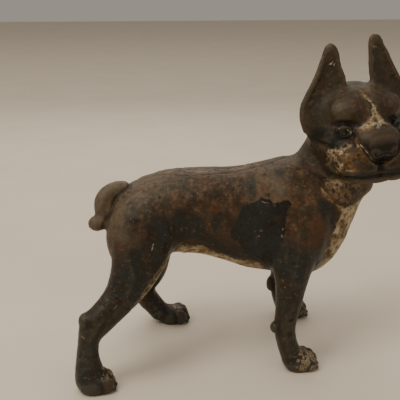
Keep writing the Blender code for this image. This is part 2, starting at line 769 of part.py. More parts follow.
def screw(name, seat, slot_turn):
    """A slotted round head machine screw, which clamps the left half to the bosses of the right."""
    tip = -THREAD_GRIP + CLEARANCE
    top = seat + SCREW_HEAD_HEIGHT
    profile = [
        (tip, SCREW_RADIUS * 0.72),
        (tip + POINT_LENGTH, SCREW_RADIUS),
        (seat, SCREW_RADIUS),
        (seat, SCREW_HEAD_RADIUS),
        (seat + SCREW_HEAD_HEIGHT * 0.28, SCREW_HEAD_RADIUS),
        (seat + SCREW_HEAD_HEIGHT * 0.58, SCREW_HEAD_RADIUS * 0.88),
        (seat + SCREW_HEAD_HEIGHT * 0.86, SCREW_HEAD_RADIUS * 0.62),
        (top, SCREW_HEAD_RADIUS * 0.28),
    ]
    made = turned(name, (0, 0), profile)
    reach = SCREW_HEAD_RADIUS * 1.2
    low = Vector((-reach, top - SLOT_DEPTH, -SLOT_WIDTH / 2))
    high = Vector((reach, top + SLOT_DEPTH, SLOT_WIDTH / 2))
    slot = block(low, high)
    slot.data.transform(Matrix.Rotation(slot_turn, 4, "Y"))
    combine(made, slot, "DIFFERENCE")
    return made


def finish(made, material, footing, at=(0, 0)):
    """Places a part on the footing, shades it and gives it its one material."""
    made.parent = footing
    made.location = (at[0], 0, at[1])
    made.data.name = made.name
    made.data.materials.clear()
    made.data.materials.append(material)
    made.data.shade_smooth()
    made.data.set_sharp_from_angle(angle=math.radians(38))
    made.hide_render = False
    made.display_type = "TEXTURED"


def build():
    """Models the doorstop: two half castings and the two screws that join them."""
    start_clean()
    form = thinned(sculpt_terrier(), BODY_FACES)
    core = foundry_core()
    bpy.context.view_layer.update()
    seats = [screw_seat(form, at) for at in (FRONT_SCREW, REAR_SCREW)]
    right = casting("right_half_casting", form, core, -1, seats)
    left = casting("left_half_casting", form, core, 1, seats)
    front = screw("front_screw", seats[0], math.radians(25))
    rear = screw("rear_screw", seats[1], math.radians(-40))
    low, high = span(form)
    for helper in (form, core):
        bpy.data.objects.remove(helper)

    footing = bpy.data.objects.new("footing", None)
    footing.empty_display_size = SHANK_WIDTH
    footing.location = (-(low.x + high.x) / 2, -(low.y + high.y) / 2, 0)
    bpy.context.scene.collection.objects.link(footing)
    finish(right, iron("right_half_worn_paint", (0.060, 0.042, 0.032), 0.55, 0.25), footing)
    finish(left, iron("left_half_worn_paint", (0.058, 0.041, 0.032), 0.55, 0.25), footing)
    finish(front, iron("front_screw_steel", (0.085, 0.075, 0.068), 0.45, 0.9), footing, FRONT_SCREW)
    finish(rear, iron("rear_screw_steel", (0.080, 0.070, 0.064), 0.47, 0.9), footing, REAR_SCREW)
    bpy.context.view_layer.update()


if __name__ == "__main__":
    build()
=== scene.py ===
"""The dressed model of a cast iron doorstop: a standing terrier in worn paint over rusting iron.

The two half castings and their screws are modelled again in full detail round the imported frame, in the same
places and sizes. The terrier is sculpted whole, as its pattern maker did, and then parted at the seam.

Lengths in the tables are millimetres. In the terrier's own frame X runs forward, Y to its left and Z up,
and the seam is the plane Y = 0. The head has a frame of its own: X out through the nose, Y to the left ear.
"""

import math

import bmesh
import bpy
import numpy as np
from mathutils import Matrix, Vector


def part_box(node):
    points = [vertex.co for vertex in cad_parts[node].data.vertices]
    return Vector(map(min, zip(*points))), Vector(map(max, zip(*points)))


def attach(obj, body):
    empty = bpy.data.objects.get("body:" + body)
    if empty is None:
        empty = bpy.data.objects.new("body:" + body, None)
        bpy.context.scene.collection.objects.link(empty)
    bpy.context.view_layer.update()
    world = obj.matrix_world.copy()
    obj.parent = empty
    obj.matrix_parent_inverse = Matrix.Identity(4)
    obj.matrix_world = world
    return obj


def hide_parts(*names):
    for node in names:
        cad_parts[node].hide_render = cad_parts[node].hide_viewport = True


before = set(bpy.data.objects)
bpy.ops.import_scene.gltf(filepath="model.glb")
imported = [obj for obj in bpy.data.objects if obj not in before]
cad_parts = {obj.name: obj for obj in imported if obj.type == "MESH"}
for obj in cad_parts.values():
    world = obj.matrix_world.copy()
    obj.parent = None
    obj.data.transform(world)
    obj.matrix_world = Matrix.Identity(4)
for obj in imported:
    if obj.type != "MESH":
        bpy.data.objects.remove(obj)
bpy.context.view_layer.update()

MM = 0.001

# Casting, as in the frame. The seam is drawn closed, because the real halves touch there.
WALL = 5.5
SEAM_GAP = 0.3
CLOSED_SEAM = 0.04
CLEARANCE = 0.3
SCREW_RADIUS = 3.175
SCREW_HEAD_RADIUS = 5.8
SCREW_HEAD_HEIGHT = 3.6
SLOT_WIDTH = 1.6
SLOT_DEPTH = 1.8
THREAD_GRIP = 13.0
THREAD_PITCH = 1.27
THREAD_HEIGHT = 0.62
THREAD_STEPS = 8
PLAIN_NECK = 1.5
BOSS_MARGIN = 2.7
BOSS_REACH = 75
POCKET_DEPTH = 3.4
POCKET_FLARE = [(4, 1.6), (24, 9)]
FRONT_SCREW = (40.0, 118.0)
REAR_SCREW = (-44.0, 126.0)

# Grain of the clay: of the soft forms, of the finished skin and of the core
SOFT_GRAIN = 1.8
FINE_GRAIN = 0.96
CORE_GRAIN = 4.0
RING_SIDES = 28
ROUND_SIDES = 56

# How far a step of softening goes in and back out, the share of a ridge that it leaves, and cells of noise
STEP_IN = 0.50
STEP_OUT = 0.52
RIDGES_KEPT = 0.97
NOISE_CELLS = 32

# From the terrier's frame to the row's: the frame's front screw and left half say where it stands
screw_low, screw_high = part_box("front_screw")
left_low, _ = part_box("left_half_casting")
screw_middle = (screw_low[0] + screw_high[0]) / 2
STAND = Vector((screw_middle - FRONT_SCREW[0] * MM, left_low[1] - SEAM_GAP * MM / 2, 0))

HEAD = (
    Matrix.Translation(Vector((106.6, -7.5, 195.7)) * MM)
    @ Matrix.Rotation(math.radians(-82), 4, "Z")
    @ Matrix.Rotation(math.radians(3), 4, "Y")
    @ Matrix.Rotation(math.radians(5), 4, "X")
)
BODY = Matrix()

# Balls already made, by their fineness
BALLS = {}

# Trunk: x, top, bottom, half width, squareness
TRUNK = [
    (-86.5, 127, 110, 10, 2), (-81.5, 134.5, 100, 22, 2.1), (-69, 142.5, 91, 30, 2.3),
    (-54, 149.5, 87, 32.5, 2.4), (-36, 154, 89.5, 32, 2.5), (-14, 155, 88.2, 32.5, 2.6),
    (6, 154.5, 81.6, 34, 2.6), (23, 155.5, 75, 36, 2.5), (42, 159, 70.5, 37.5, 2.4),
    (60, 162.5, 66.5, 37, 2.4), (76, 160.5, 65, 34.5, 2.3), (90, 151, 71, 30, 2.2), (100, 140, 82, 25, 2.1),
    (107, 130, 96, 18, 2), (111.5, 120, 107, 8, 2),
]

# Neck: centre, half depth, half width
NECK = [
    (74, 0, 105, 35.5, 26), (83.85, 0.02, 127.68, 34.5, 31), (94.01, -1.04, 148.99, 31.5, 30),
    (100.87, -3, 166.68, 28.8, 29.5), (104.99, -5, 184.82, 27, 29),
]

# Each leg: centre, half its depth and half its width
LEGS = [
    [
        (-60, -24, 118, 23, 16), (-61.5, -30, 100, 22.5, 17), (-67.5, -37, 85, 18, 15.5),
        (-77.5, -43, 70, 13, 13), (-89, -47.6, 59, 11.2, 11), (-98.5, -50.1, 50, 10.8, 10),
        (-102.6, -50.5, 38, 8, 8.2), (-103.8, -51, 26, 9, 8.6), (-102.8, -51.5, 12, 11.6, 10.5),
        (-101.5, -51.5, 5, 12, 11),
    ],
    [
        (-54, 24, 118, 23, 16), (-50, 30, 98, 22.5, 16.5), (-48, 36, 81, 18, 15), (-47.5, 42, 65, 15, 13),
        (-50.5, 46.5, 51, 13.5, 11.5), (-56.5, 50, 39, 12.2, 10.2), (-54, 51.5, 28, 10, 9),
        (-47, 52.5, 17, 9.5, 9.5), (-41, 52.5, 8, 10, 11),
    ],
    [
        (62, -26, 115, 20, 15), (57, -33, 90, 17.5, 14.5), (55, -37.5, 72, 13, 12.5),
        (53, -40, 57, 10.6, 10.5), (50.8, -41.5, 44, 9, 9.2), (50, -42.5, 33, 8.2, 8.5),
        (52.5, -43, 20, 8.2, 9), (57, -43, 9, 9, 10),
    ],
    [
        (70, 26, 115, 20, 15), (71, 34, 90, 17, 14.5), (71, 40, 70, 12.8, 12.5), (70, 44, 55, 10.6, 10.5),
        (68.5, 46.5, 43, 9, 9.2), (68, 48, 32, 8.2, 8.5), (70.5, 48.9, 19, 8.2, 9), (75, 49, 9, 9, 10),
    ],
]

# Each paw: its middle on the floor, how far it turns to the left in degrees, and the foot of its heel.
# Then the size of a paw, its outer and inner toe and their nails: place as shares of that size, and radii
PAWS = [(-98.5, -53.5, 12, -113.5), (-29.5, 52, 0, -41.5), (62, -43, 4, 53.5), (80.5, 49, 0, 69)]
PAW = (30, 26, 15)
TOES = [
    ((0.19, 0.335, 0.44), (6.2, 3.8, 6.6)), ((0.26, 0.118, 0.46), (6.5, 3.5, 7.5)),
    ((0.41, 0.330, 0.18), (1.7, 1.3, 2.2)), ((0.475, 0.115, 0.20), (1.7, 1.3, 2.4)),
]

# How far the worn cream reaches round the toes of each paw, which way a heel faces, and the wrists' pads
WORN_TOES = (12, 10.5, 16, 14)
HEEL_SLOPE = (-0.72, 0, -0.69)
WRIST_PADS = [((42.3, -42.7, 36.2), (4.2, 4.8, 4.8)), ((60.8, 47.5, 33), (4.8, 5.2, 7.6))]

# Tail and its tip: centre, half depth, half width. Then the crease where the tail lies against the rump
TAIL = [
    (-64, 0, 137.5, 6.2, 8), (-72, -2, 141.5, 6.3, 8), (-78.5, -4.5, 142, 6.4, 7.8),
    (-84.5, -6.5, 139.5, 6.5, 7.5), (-88, -8, 134, 6.6, 7.2), (-88.5, -9.5, 127, 6, 6.6),
    (-88.5, -10.5, 120.5, 5, 5.5),
]
TAIL_TIP = [
    (-85.5, -15, 120, 4.2, 4.2), (-89, -14.2, 119.4, 5.5, 5.4), (-93, -13.4, 118.8, 6.2, 6),
    (-96.3, -12.8, 118.2, 5.2, 5.2), (-99, -12.4, 117.8, 2.6, 2.6),
]
TAIL_CREASE = [
    (-67.2, -7.4, 145.6), (-69.2, -8.8, 144.5), (-73.2, -11.6, 142.3), (-77.1, -13.3, 139),
    (-79.9, -14.7, 134.8), (-81.6, -17.2, 130.1), (-83.7, -18.2, 125.8), (-86.9, -17.6, 120.9),
    (-88.5, -18.3, 117.2),
]

# Thighs, shoulders, the folds of the throat and the nape, and the points of the hocks: centre, radii, turn
MUSCLES = [
    ((-59, -21, 111), (27.5, 21.5, 33), (0, 15, 0)), ((-55, 21, 111), (27.5, 21.5, 33), (0, 15, 0)),
    ((65, -23, 106), (25, 19, 40), (0, 12, 0)), ((69, 23, 106), (25, 19, 40), (0, 12, 0)),
    ((105, -4, 147), (24.5, 23, 17), (0, 25, 0)), ((100.4, 4, 176), (23.4, 22, 24), (0, 0, 0)),
    ((-103.6, -50.6, 56), (6.2, 6.8, 6), (0, 30, 0)), ((-65.1, 50.6, 40), (7.5, 7, 6.5), (0, 0, 0)),
]

# Left ear in the head's frame: height, inner edge (x, y), outer edge (x, y), depth of the cup
EAR_THICKNESS = 6.8
RIGHT_EAR_SHORTER = 3.0
EAR_LEAN = 1.4
RIGHT_EAR_SPREAD = ((14, 23, 40, 54), (0.0, -2.8, 0.0, 1.0))
EAR = [
    (-14, (15, 30), (5, 37), 0), (-5, (18.5, 29), (4, 43), 1.4), (5, (18.5, 27.5), (3.5, 45.5), 3.2),
    (14, (16.5, 23.5), (3.5, 44.5), 4.6), (22, (13, 14.5), (4, 40.5), 5), (30, (10, 10), (4.5, 36.2), 4.2),
    (38, (8, 10.6), (4, 32), 3.4), (46, (6.5, 11.2), (3.5, 28.4), 2.4), (53, (5, 11.5), (3, 25.6), 1.2),
    (58, (4, 12.6), (3, 23.6), 0.5), (60.5, (3.5, 14.6), (3, 21.6), 0.2), (61.8, (3.3, 17), (3.1, 19.2), 0),
]

# Temples, brow and nape, where the hollows of the head are filled further: centre in its frame and radius
HEAD_FILLS = [((12, -31, 6), 23), ((12, 31, 6), 23), ((26, 0, 13), 21), ((0, -36, -20), 20)]

# Lines of the face on its right side, in the head's frame: x, y, z and the radius of the roll
UPPER_LID = [
    (25.4, -26.6, -3, 0.8), (27.9, -25.4, -0.2, 1.1), (30.6, -23, 1.4, 1.2), (32.7, -20, 1.2, 1.1),
    (33.9, -17.4, -0.8, 0.9),
]
LOWER_LID = [
    (25.4, -26.6, -3.2, 0.7), (27.8, -25.2, -5, 0.8), (30.2, -22.9, -6, 0.9), (32.5, -20, -5, 0.8),
    (33.9, -17.4, -2.4, 0.8),
]
EYEBALL = (27.3, 21.4, -2.3)
LIP_TOP = [
    (40.5, -17.6, -6.5, 1.2), (44.6, -17, -11, 1.5), (47, -14.6, -15.5, 1.7), (47.4, -11.4, -20, 1.8),
    (46.2, -7.4, -24.4, 1.7), (45.2, -3, -26.8, 1.4),
]
LIP_EDGE = [
    (26, -31.4, -27, 2), (31, -28.6, -30.6, 3), (38.5, -22, -30.8, 3.2), (43.5, -13.5, -30, 2.8),
    (45, -5, -29.5, 2.2),
]
CHIN_EDGE = [(36, -17, -38.2, 2.4), (42, -9, -38.4, 2.8), (43.8, 0, -38.4, 3)]

# Lines cut into the face, seen from the front: a path of side and height, then the cut's width and depth
FACE_CUTS = [
    ([(0, 24), (0, 14), (0, 6)], 4.5, 1), ([(-13.5, 3), (-18, 4), (-23, 4.6), (-27, 2.2)], 3, 0.9),
    ([(-17.4, -3), (-16.6, -9), (-14, -14.6), (-10.2, -19.6), (-5.6, -23.8), (0, -25.4)], 1.6, 0.9),
    ([(0, -18), (0, -25), (0, -31)], 1.4, 0.5),
    ([(0, -34.6), (-8, -35.2), (-16, -35.4), (-24, -34)], 1.9, 1.1),
    ([(-35, -12), (-29, -14.4), (-23, -12.6), (-18.6, -8.8)], 2.6, 0.8),
    ([(-3.6, -17), (-5.6, -18.4), (-7.6, -17.4), (-8, -15.6)], 1.3, 1.3),
    ([(-19, -16), (-23, -20), (-27, -22)], 2.4, 0.5),
]

# Hollows of the flanks, seen from the side: along and up, then width and depth. Each is cut on both sides.
FLANK_CUTS = [
    ([(40, 145), (34, 125), (36, 103), (43, 85)], 10, 1.4), ([(-27, 128), (-30, 108), (-34, 92)], 9, 1.4),
    ([(89, 128), (88, 110), (83, 92)], 8, 1.2), ([(-66, 104), (-62, 88), (-68, 74)], 6, 0.7),
    ([(63, 118), (62, 98), (58, 78)], 5, 0.7), ([(-91, 55), (-98, 44), (-98, 30)], 3, 0.6),
]

# Creases of the neck's right side, seen from the right, and the zones of both tables: centre and radius.
# Then the notch between tail and back, seen from above
NECK_CUTS = [
    ([(72, 173), (73.5, 170.2), (76.3, 164.9), (79.5, 159.3), (84.2, 154.5)], 2.8, 1),
    ([(66.8, 168.3), (66.4, 163.9), (68.4, 159), (73.6, 154), (80.5, 150.6)], 2.8, 1),
    ([(80, 150), (87, 147), (95, 144), (102, 142)], 3, 0.6),
]
FLANK_ZONE = ((0, 0, 90), 135)
NECK_ZONE = ((80, -20, 160), 34)
TAIL_NOTCH = [(-67, -9, 147), (-67, 9, 147)]

# Where the skin of the back steps up to its middle, from above: along and across
BACK_STEP = [
    (-52, -1), (-40, -3.5), (-28.7, -10.2), (-14.2, -11.4), (-3.1, -10.1), (8.2, -8.4), (23.9, -5.6),
    (33.7, -4.3), (42.7, -3.3), (52.2, -0.5), (60, 0),
]

# Seam and back: how wide and deep the edges are rounded, the lift of the left half, the step and its groove
EDGE_WIDTH = 0.9
EDGE_DEPTH = 0.35
LEFT_LIFT = 0.5
STEP_HEIGHT = 0.70
GROOVE_DEPTH = 0.30


def new_object(name, data):
    """Links an object."""
    made = bpy.data.objects.new(name, data)
    bpy.context.scene.collection.objects.link(made)
    return made


def built(name, bm):
    """Makes an object of what stands in bm."""
    mesh = bpy.data.meshes.new(name)
    bm.to_mesh(mesh)
    bm.free()
    return new_object(name, mesh)


def read(source, key, width, kind=np.float32):
    """A row of numbers for each point, edge or face of a mesh."""
    values = np.empty(len(source) * width, kind)
    source.foreach_get(key, values)
    return values.reshape(-1, width)


def out_of_head(place):
    """A place in the head's frame as one in the terrier's."""
    return HEAD @ (Vector(place) * MM) / MM


def into_head(points):
    """Places in the terrier's frame as ones in the head's."""
    head = HEAD.inverted()
    return points @ np.array(head.to_3x3()).T + np.array(head.translation) / MM


def smooth_step(value, start, end):
    """From 0 at the start to 1 at the end, gently."""
    t = np.clip((value - start) / (end - start), 0, 1)
    return t * t * (3 - 2 * t)


def away_from(places, centre):
    """How far each place is from a point."""
    return np.linalg.norm(places - np.array(centre), axis=1)


def inside_ball(places, centre, radius, fade):
    """1 well inside a ball, falling to 0 at its surface over the width of the fade."""
    return smooth_step(radius - away_from(places, centre), 0, fade)


def distance_to_path(places, marks):
    """How far each flat place is from a path of flat marks."""
    marks = np.array(marks, float)
    away = np.full(len(places), np.inf)
    for start, end in zip(marks, marks[1:]):
        run = end - start
        share = np.clip(((places - start) @ run) / max(run @ run, 1e-12), 0, 1)
        away = np.minimum(away, np.linalg.norm(places - start - share[:, None] * run, axis=1))
    return away


def depth_in_shape(places, corners):
    """How deep each flat place is inside an outline, and less than nothing outside it."""
    closed = np.array([*corners, corners[0]], float)
    inside = np.zeros(len(places), bool)
    x, y = places.T
    for (ax, ay), (bx, by) in zip(closed, closed[1:]):
        if ay == by:
            continue
        inside ^= ((ay > y) != (by > y)) & (x < (bx - ax) * (y - ay) / (by - ay) + ax)
    return np.where(inside, 1, -1) * distance_to_path(places, closed)


def mean_of_neighbours(points, edges):
    """The middle of each point's neighbours along the edges."""
    a, b = edges.T
    total = np.zeros_like(points)
    for axis in range(3):
        value = points[:, axis]
        total[:, axis] = np.bincount(a, value[b], len(value)) + np.bincount(b, value[a], len(value))
    return total / np.maximum(np.bincount(edges.ravel(), minlength=len(points)), 1)[:, None]


def eased(rows, spacing=3.0):
    """Rows of numbers, the first three a point, filled in along a smooth curve through them all."""
    rows = [np.array(row, float) for row in rows]
    rows = [2 * rows[0] - rows[1], *rows, 2 * rows[-1] - rows[-2]]
    filled = []
    for before, here, there, after in zip(rows, rows[1:], rows[2:], rows[3:]):
        count = max(1, round(np.linalg.norm(there[:3] - here[:3]) / spacing))
        for step in range(count):
            t = step / count
            slope = there - before
            bend = 2 * before - 5 * here + 4 * there - after
            twist = 3 * here - before - 3 * there + after
            filled.append(here + 0.5 * t * (slope + t * (bend + t * twist)))
    return [*filled, rows[-2]]


def bridge(bm, rings):
    """Skins a row of rings of equal count, given in millimetres, and closes both ends."""
    made = [[bm.verts.new(Vector(point) * MM) for point in ring] for ring in rings]
    for first, second in zip(made, made[1:]):
        for i in range(len(first)):
            j = (i + 1) % len(first)
            bm.faces.new((first[i], first[j], second[j], second[i]))
    bm.faces.new(list(reversed(made[0])))
    bm.faces.new(made[-1])


def squared(angle, power):
    """Cosine and sine pulled towards a square: power 2 is a circle, more is boxier."""
    c, s = math.cos(angle), math.sin(angle)
    reach = (abs(c) ** power + abs(s) ** power) ** (-1 / power)
    return c * reach, s * reach


def circle(sides):
    """The angles of the corners of a ring."""
    return [2 * math.pi * i / sides for i in range(sides)]


def round_ring(y, radius, at=(0, 0)):
    """A ring of a turned solid about an axis along Y through (x, z)."""
    turns = circle(ROUND_SIDES)
    return [(at[0] + radius * math.sin(turn), y, at[1] + radius * math.cos(turn)) for turn in turns]


def add_barrel(bm, stations, skin=0.0):
    """The trunk: upright sections along X. Skin is taken off all round."""
    rows = [(x, 0, 0, top, bottom, half, power) for x, top, bottom, half, power in stations]
    rings = []
    for x, _, _, top, bottom, half, power in eased(rows):
        rise, wide = (top - bottom) / 2 - skin, half - skin
        if min(rise, wide) < 2:
            continue
        middle = (top + bottom) / 2
        points = [squared(turn, power) for turn in circle(RING_SIDES)]
        rings.append([(x, wide * c, middle + rise * s) for c, s in points])
    bridge(bm, rings)


def add_limb(bm, joints, skin=0.0):
    """A limb of round sections square to a smooth line. A joint is a point, a half depth and half width."""
    rows = eased(joints)
    turns = circle(RING_SIDES)
    rings = []
    for i, row in enumerate(rows):
        before, after = rows[max(0, i - 1)], rows[min(len(rows) - 1, i + 1)]
        along = Vector(after[:3] - before[:3]).normalized()
        deep = Vector((0, 1, 0)).cross(along).normalized()
        wide = along.cross(deep)
        centre = Vector(row[:3])
        deep *= row[3] - skin
        wide *= row[4] - skin
        rings.append([centre + deep * math.cos(turn) + wide * math.sin(turn) for turn in turns])
    bridge(bm, rings)


def ball(fineness):
    """Points and faces of a ball of radius 1, made of triangles of nearly equal size."""
    if fineness not in BALLS:
        bm = bmesh.new()
        bmesh.ops.create_icosphere(bm, subdivisions=fineness, radius=1)
        faces = [[vert.index for vert in face.verts] for face in bm.faces]
        BALLS[fineness] = ([vert.co.copy() for vert in bm.verts], faces)
        bm.free()
    return BALLS[fineness]


def add_lump(bm, centre, radii, turn=(0, 0, 0), power=2.0, skin=0.0, place=BODY, fineness=3):
    """A ball stretched to its radii and turned in degrees about X, Y, Z. A power over 2 makes it boxier."""
    turned = Matrix.Identity(3)
    for angle, axis in zip(turn, "XYZ"):
        turned = Matrix.Rotation(math.radians(angle), 3, axis) @ turned
    centre = Vector(centre)
    points, faces = ball(fineness)
    made = []
    for x, y, z in points:
        reach = (abs(x) ** power + abs(y) ** power + abs(z) ** power) ** (-1 / power)
        stretched = Vector([value * reach * (radius - skin) for value, radius in zip((x, y, z), radii)])
        made.append(bm.verts.new(place @ ((turned @ stretched + centre) * MM)))
    for face in faces:
        bm.faces.new([made[i] for i in face])


def add_head_lump(bm, centre, radii, power=2.0, skin=0.0):
    """The same in the head's frame."""
    add_lump(bm, centre, radii, power=power, skin=skin, place=HEAD)


def add_roll(bm, path):
    """A soft roll on the head, along a path of (x, y, z, radius)."""
    thinnest = min(row[3] for row in path)
    for x, y, z, radius in eased(path, spacing=max(0.5, thinnest * 0.5)):
        add_lump(bm, (x, y, z), (radius,) * 3, place=HEAD, fineness=2)


def add_rolls(bm, path):
    """The same roll on both sides of the head."""
    for side in (-1, 1):
        add_roll(bm, [(x, side * y, z, radius) for x, y, z, radius in path])


def add_skull(bm, skin=0.0):
    """The hollow part of the head."""
    add_head_lump(bm, (-4, 0, -2), (31, 31, 24), 2.3, skin)
    add_head_lump(bm, (10, 0, 2), (23, 27.5, 23.5), 2.6, skin)


def add_face(bm):
    """Crown, left jowl, muzzle, stop and chin, then the brow, cheek and lip of each side."""
    add_head_lump(bm, (1, 0, 19), (17, 17, 7.8))
    add_head_lump(bm, (35.5, 14.5, -36.6), (11.5, 11, 6.6), 2.4)
    add_head_lump(bm, (35.5, 0, -11), (15.5, 17.8, 13.5), 2.7)
    add_head_lump(bm, (22, 0, 6), (15, 12, 15))
    add_head_lump(bm, (30, 0, -34), (16, 24, 8.5), 2.8)
    for side in (-1, 1):
        add_head_lump(bm, (18.5, side * 14.5, 10), (14.2, 14, 11.5), 2.3)
        add_head_lump(bm, (7, side * 24.5, -13), (22, 13, 18.5))
        add_head_lump(bm, (31.5, side * 17.5, -23), (16.5, 14, 13.5), 2.3)


def ear_place(x, y, high, side):
    """A place on an ear: the tips lean, and the right ear is a little shorter."""
    rise = max(0.0, high / EAR[-1][0]) ** 2
    short = RIGHT_EAR_SHORTER if side < 0 else 0.0
    return x, side * y - EAR_LEAN * rise, high - short * rise


def add_ear(bm, side):
    """One ear: a cupped, pointed plate whose hollow faces forward and out. Side is -1 for the right ear."""
    short = RIGHT_EAR_SHORTER if side < 0 else 0.0
    tip = EAR[-1][0]
    rows = []
    for high, inner, outer, cup in EAR:
        rows.append((high - short * max(0.0, high / tip) ** 2, 0, 0, *inner, *outer, cup))
    rings = []
    for lift, _, _, in_x, in_y, out_x, out_y, cup in eased(rows):
        lean = EAR_LEAN * max(0.0, lift / tip) ** 2
        if side < 0:
            in_y += float(np.interp(lift, *RIGHT_EAR_SPREAD))
        inner = Vector((in_x, side * in_y - lean, lift))
        outer = Vector((out_x, side * out_y - lean, lift))
        across = (outer - inner) / 2
        facing = Vector((abs(across.y), side * abs(across.x), 0)).normalized()
        thick = min(EAR_THICKNESS / 2, across.length)
        ring = []
        for turn in circle(RING_SIDES):
            c, s = squared(side * turn, 2.2)
            point = (inner + outer) / 2 + across * c + facing * (thick * s - cup * (1 - c * c))
            ring.append(out_of_head(point))
        rings.append(ring)
    bridge(bm, rings)


def add_soft_forms(bm):
    """Everything that runs into its neighbours without a line."""
    add_barrel(bm, TRUNK)
    add_limb(bm, NECK)
    add_skull(bm)
    for leg in LEGS:
        add_limb(bm, leg)
    for centre, radii, turn in MUSCLES:
        add_lump(bm, centre, radii, turn)
    for x, y, turn, _ in PAWS:
        add_lump(bm, (x, y, 5.8), (14, 12.2, 8.7), turn=(0, 0, turn), power=2.25)
    add_limb(bm, TAIL)
    add_face(bm)
    for side in (-1, 1):
        add_ear(bm, side)


def add_eyes(bm):
    """Eyeballs deep between their lids."""
    add_rolls(bm, UPPER_LID)
    add_rolls(bm, LOWER_LID)
    x, y, z = EYEBALL
    for side in (-1, 1):
        add_head_lump(bm, (x, side * y, z), (4.6,) * 3)


def add_nose(bm):
    """The broad nose, its wings, and the raised upper edge of each lip beside it."""
    add_head_lump(bm, (46, 0, -11), (6.2, 13, 9.5), 2.4)
    add_rolls(bm, LIP_TOP)
    for side in (-1, 1):
        add_head_lump(bm, (48.6, side * 5.8, -14.6), (3.8, 5.6, 5.2))


def add_jaw(bm):
    """The lower edges of the lips and the chin between them."""
    add_rolls(bm, LIP_EDGE)
    add_rolls(bm, CHIN_EDGE)


def add_ear_rims(bm):
    """The thicker outer rim of each ear."""
    for side in (-1, 1):
        path = []
        for high, _, (x, y), _ in EAR[1:-3]:
            path.append((*ear_place(x + 0.6, y - 2.0, high, side), 2.2 if high < 50 else 1.2))
        add_roll(bm, path)


def add_toes(bm):
    """Four toes with their nails on each paw, and the pad at the back of each wrist."""
    long, wide, high = PAW
    for x, y, turn, _ in PAWS:
        place = Matrix.Translation(Vector((x, y, 0)) * MM) @ Matrix.Rotation(math.radians(turn), 4, "Z")
        for half in (-1, 1):
            for (ahead, aside, up), radii in TOES:
                add_lump(bm, (ahead * long, half * aside * wide, up * high), radii, place=place)
    for centre, radii in WRIST_PADS:
        add_lump(bm, centre, radii)


class Clay:
    """A closed grid of quads that can be softened and pushed like modelling clay, in millimetres."""

    def __init__(self, mesh):
        self.points = read(mesh.vertices, "co", 3).astype(float) / MM
        self.edges = read(mesh.edges, "vertices", 2, np.int32)
        self.quads = read(mesh.polygons, "vertices", 4, np.int32)

    def normals(self):
        """The outward direction at each point."""
        corner = self.points[self.quads]
        faces = np.cross(corner[:, 2] - corner[:, 0], corner[:, 3] - corner[:, 1])
        total = np.zeros_like(self.points)
        for axis in range(3):
            weights = np.repeat(faces[:, axis], 4)
            total[:, axis] = np.bincount(self.quads.ravel(), weights, len(self.points))
        return total / np.linalg.norm(total, axis=1)[:, None]

    def pull(self):
        """From each point to the middle of its neighbours."""
        return mean_of_neighbours(self.points, self.edges) - self.points

    def fill_creases(self, times, zones=None):
        """Softens hollows alone, so that forms run into each other and keep their size."""
        share = STEP_IN
        if zones:
            share = STEP_IN * self.near(zones)[:, None]
        for turn in range(times):
            if turn % 4 == 0:
                normals = self.normals()
            pull = self.pull()
            outward = (pull * normals).sum(axis=1)[:, None]
            self.points += share * (pull - np.minimum(outward, 0) * normals * RIDGES_KEPT)

    def near(self, zones):
        """1 in the middle of the zones, each a centre and a radius, and 0 outside them."""
        away = [away_from(self.points, centre) / radius for centre, radius in zones]
        return 1 - smooth_step(np.min(away, axis=0), 0.6, 1.0)

    def pare(self, place, outward, zone):
        """Takes what sticks out past a plane back to it, inside a zone."""
        outward = np.array(outward, float) / np.linalg.norm(outward)
        over = (self.points - np.array(place, float)) @ outward
        held = away_from(self.points, zone[0]) < zone[1]
        self.points -= np.where(held & (over > 0), over, 0)[:, None] * outward

    def soften(self, times):
        """Evens the surface and keeps its volume, by a step in and a step back out."""
        for _ in range(times):
            self.points += STEP_IN * self.pull()
            self.points -= STEP_OUT * self.pull()

    def push(self, amount):
        """Moves the skin out along its normals."""
        self.points += self.normals() * amount[:, None]

    def carve(self, path, width, depth, view, zone):
        """Cuts a soft groove along a path, as seen along the view, in skin of the zone that faces it."""
        view = np.array(view, float)
        aside = np.cross(view, (0, 0, 1) if abs(view[2]) < 0.9 else (0, 1, 0))
        aside /= np.linalg.norm(aside)
        flat = np.stack((aside, np.cross(aside, view)))
        near = away_from(self.points, zone[0]) < zone[1]
        marks = np.array([tuple(mark) for mark in path]) @ flat.T
        away = distance_to_path(self.points[near] @ flat.T, marks)
        normals = self.normals()[near]
        facing = np.clip(normals @ view * 2.5, 0, 1)
        bite = depth * facing * np.clip(1 - (away / width) ** 2, 0, 1) ** 2
        self.points[near] -= normals * bite[:, None]

    def store(self, mesh):
        """Writes the points back into the mesh they came from."""
        mesh.vertices.foreach_set("co", (self.points * MM).astype(np.float32).ravel())
        mesh.update()


def noise(points, size, seed):
    """Smooth values from about -1 to 1 in space, with lumps of the given size."""
    table = np.random.default_rng(seed).uniform(-1, 1, (NOISE_CELLS,) * 3)
    cell = points / size
    base = np.floor(cell).astype(int)
    t = cell - base
    t = t * t * (3 - 2 * t)
    total = 0
    for corner in np.ndindex(2, 2, 2):
        share = np.prod(np.where(corner, t, 1 - t), axis=1)
        at = (base + corner) % NOISE_CELLS
        total = total + share * table[at[:, 0], at[:, 1], at[:, 2]]
    return total


def applied(made):
    """Puts an object's modifiers into its mesh."""
    old = made.data
    graph = bpy.context.evaluated_depsgraph_get()
    made.data = bpy.data.meshes.new_from_object(made.evaluated_get(graph))
    made.modifiers.clear()
    bpy.data.meshes.remove(old)
    return made


def fused(name, bm, grain):
    """One closed skin round all the forms in bm."""
    made = built(name, bm)
    remesh = made.modifiers.new("fuse", "REMESH")
    remesh.mode = "VOXEL"
    remesh.voxel_size = grain * MM
    return applied(made)


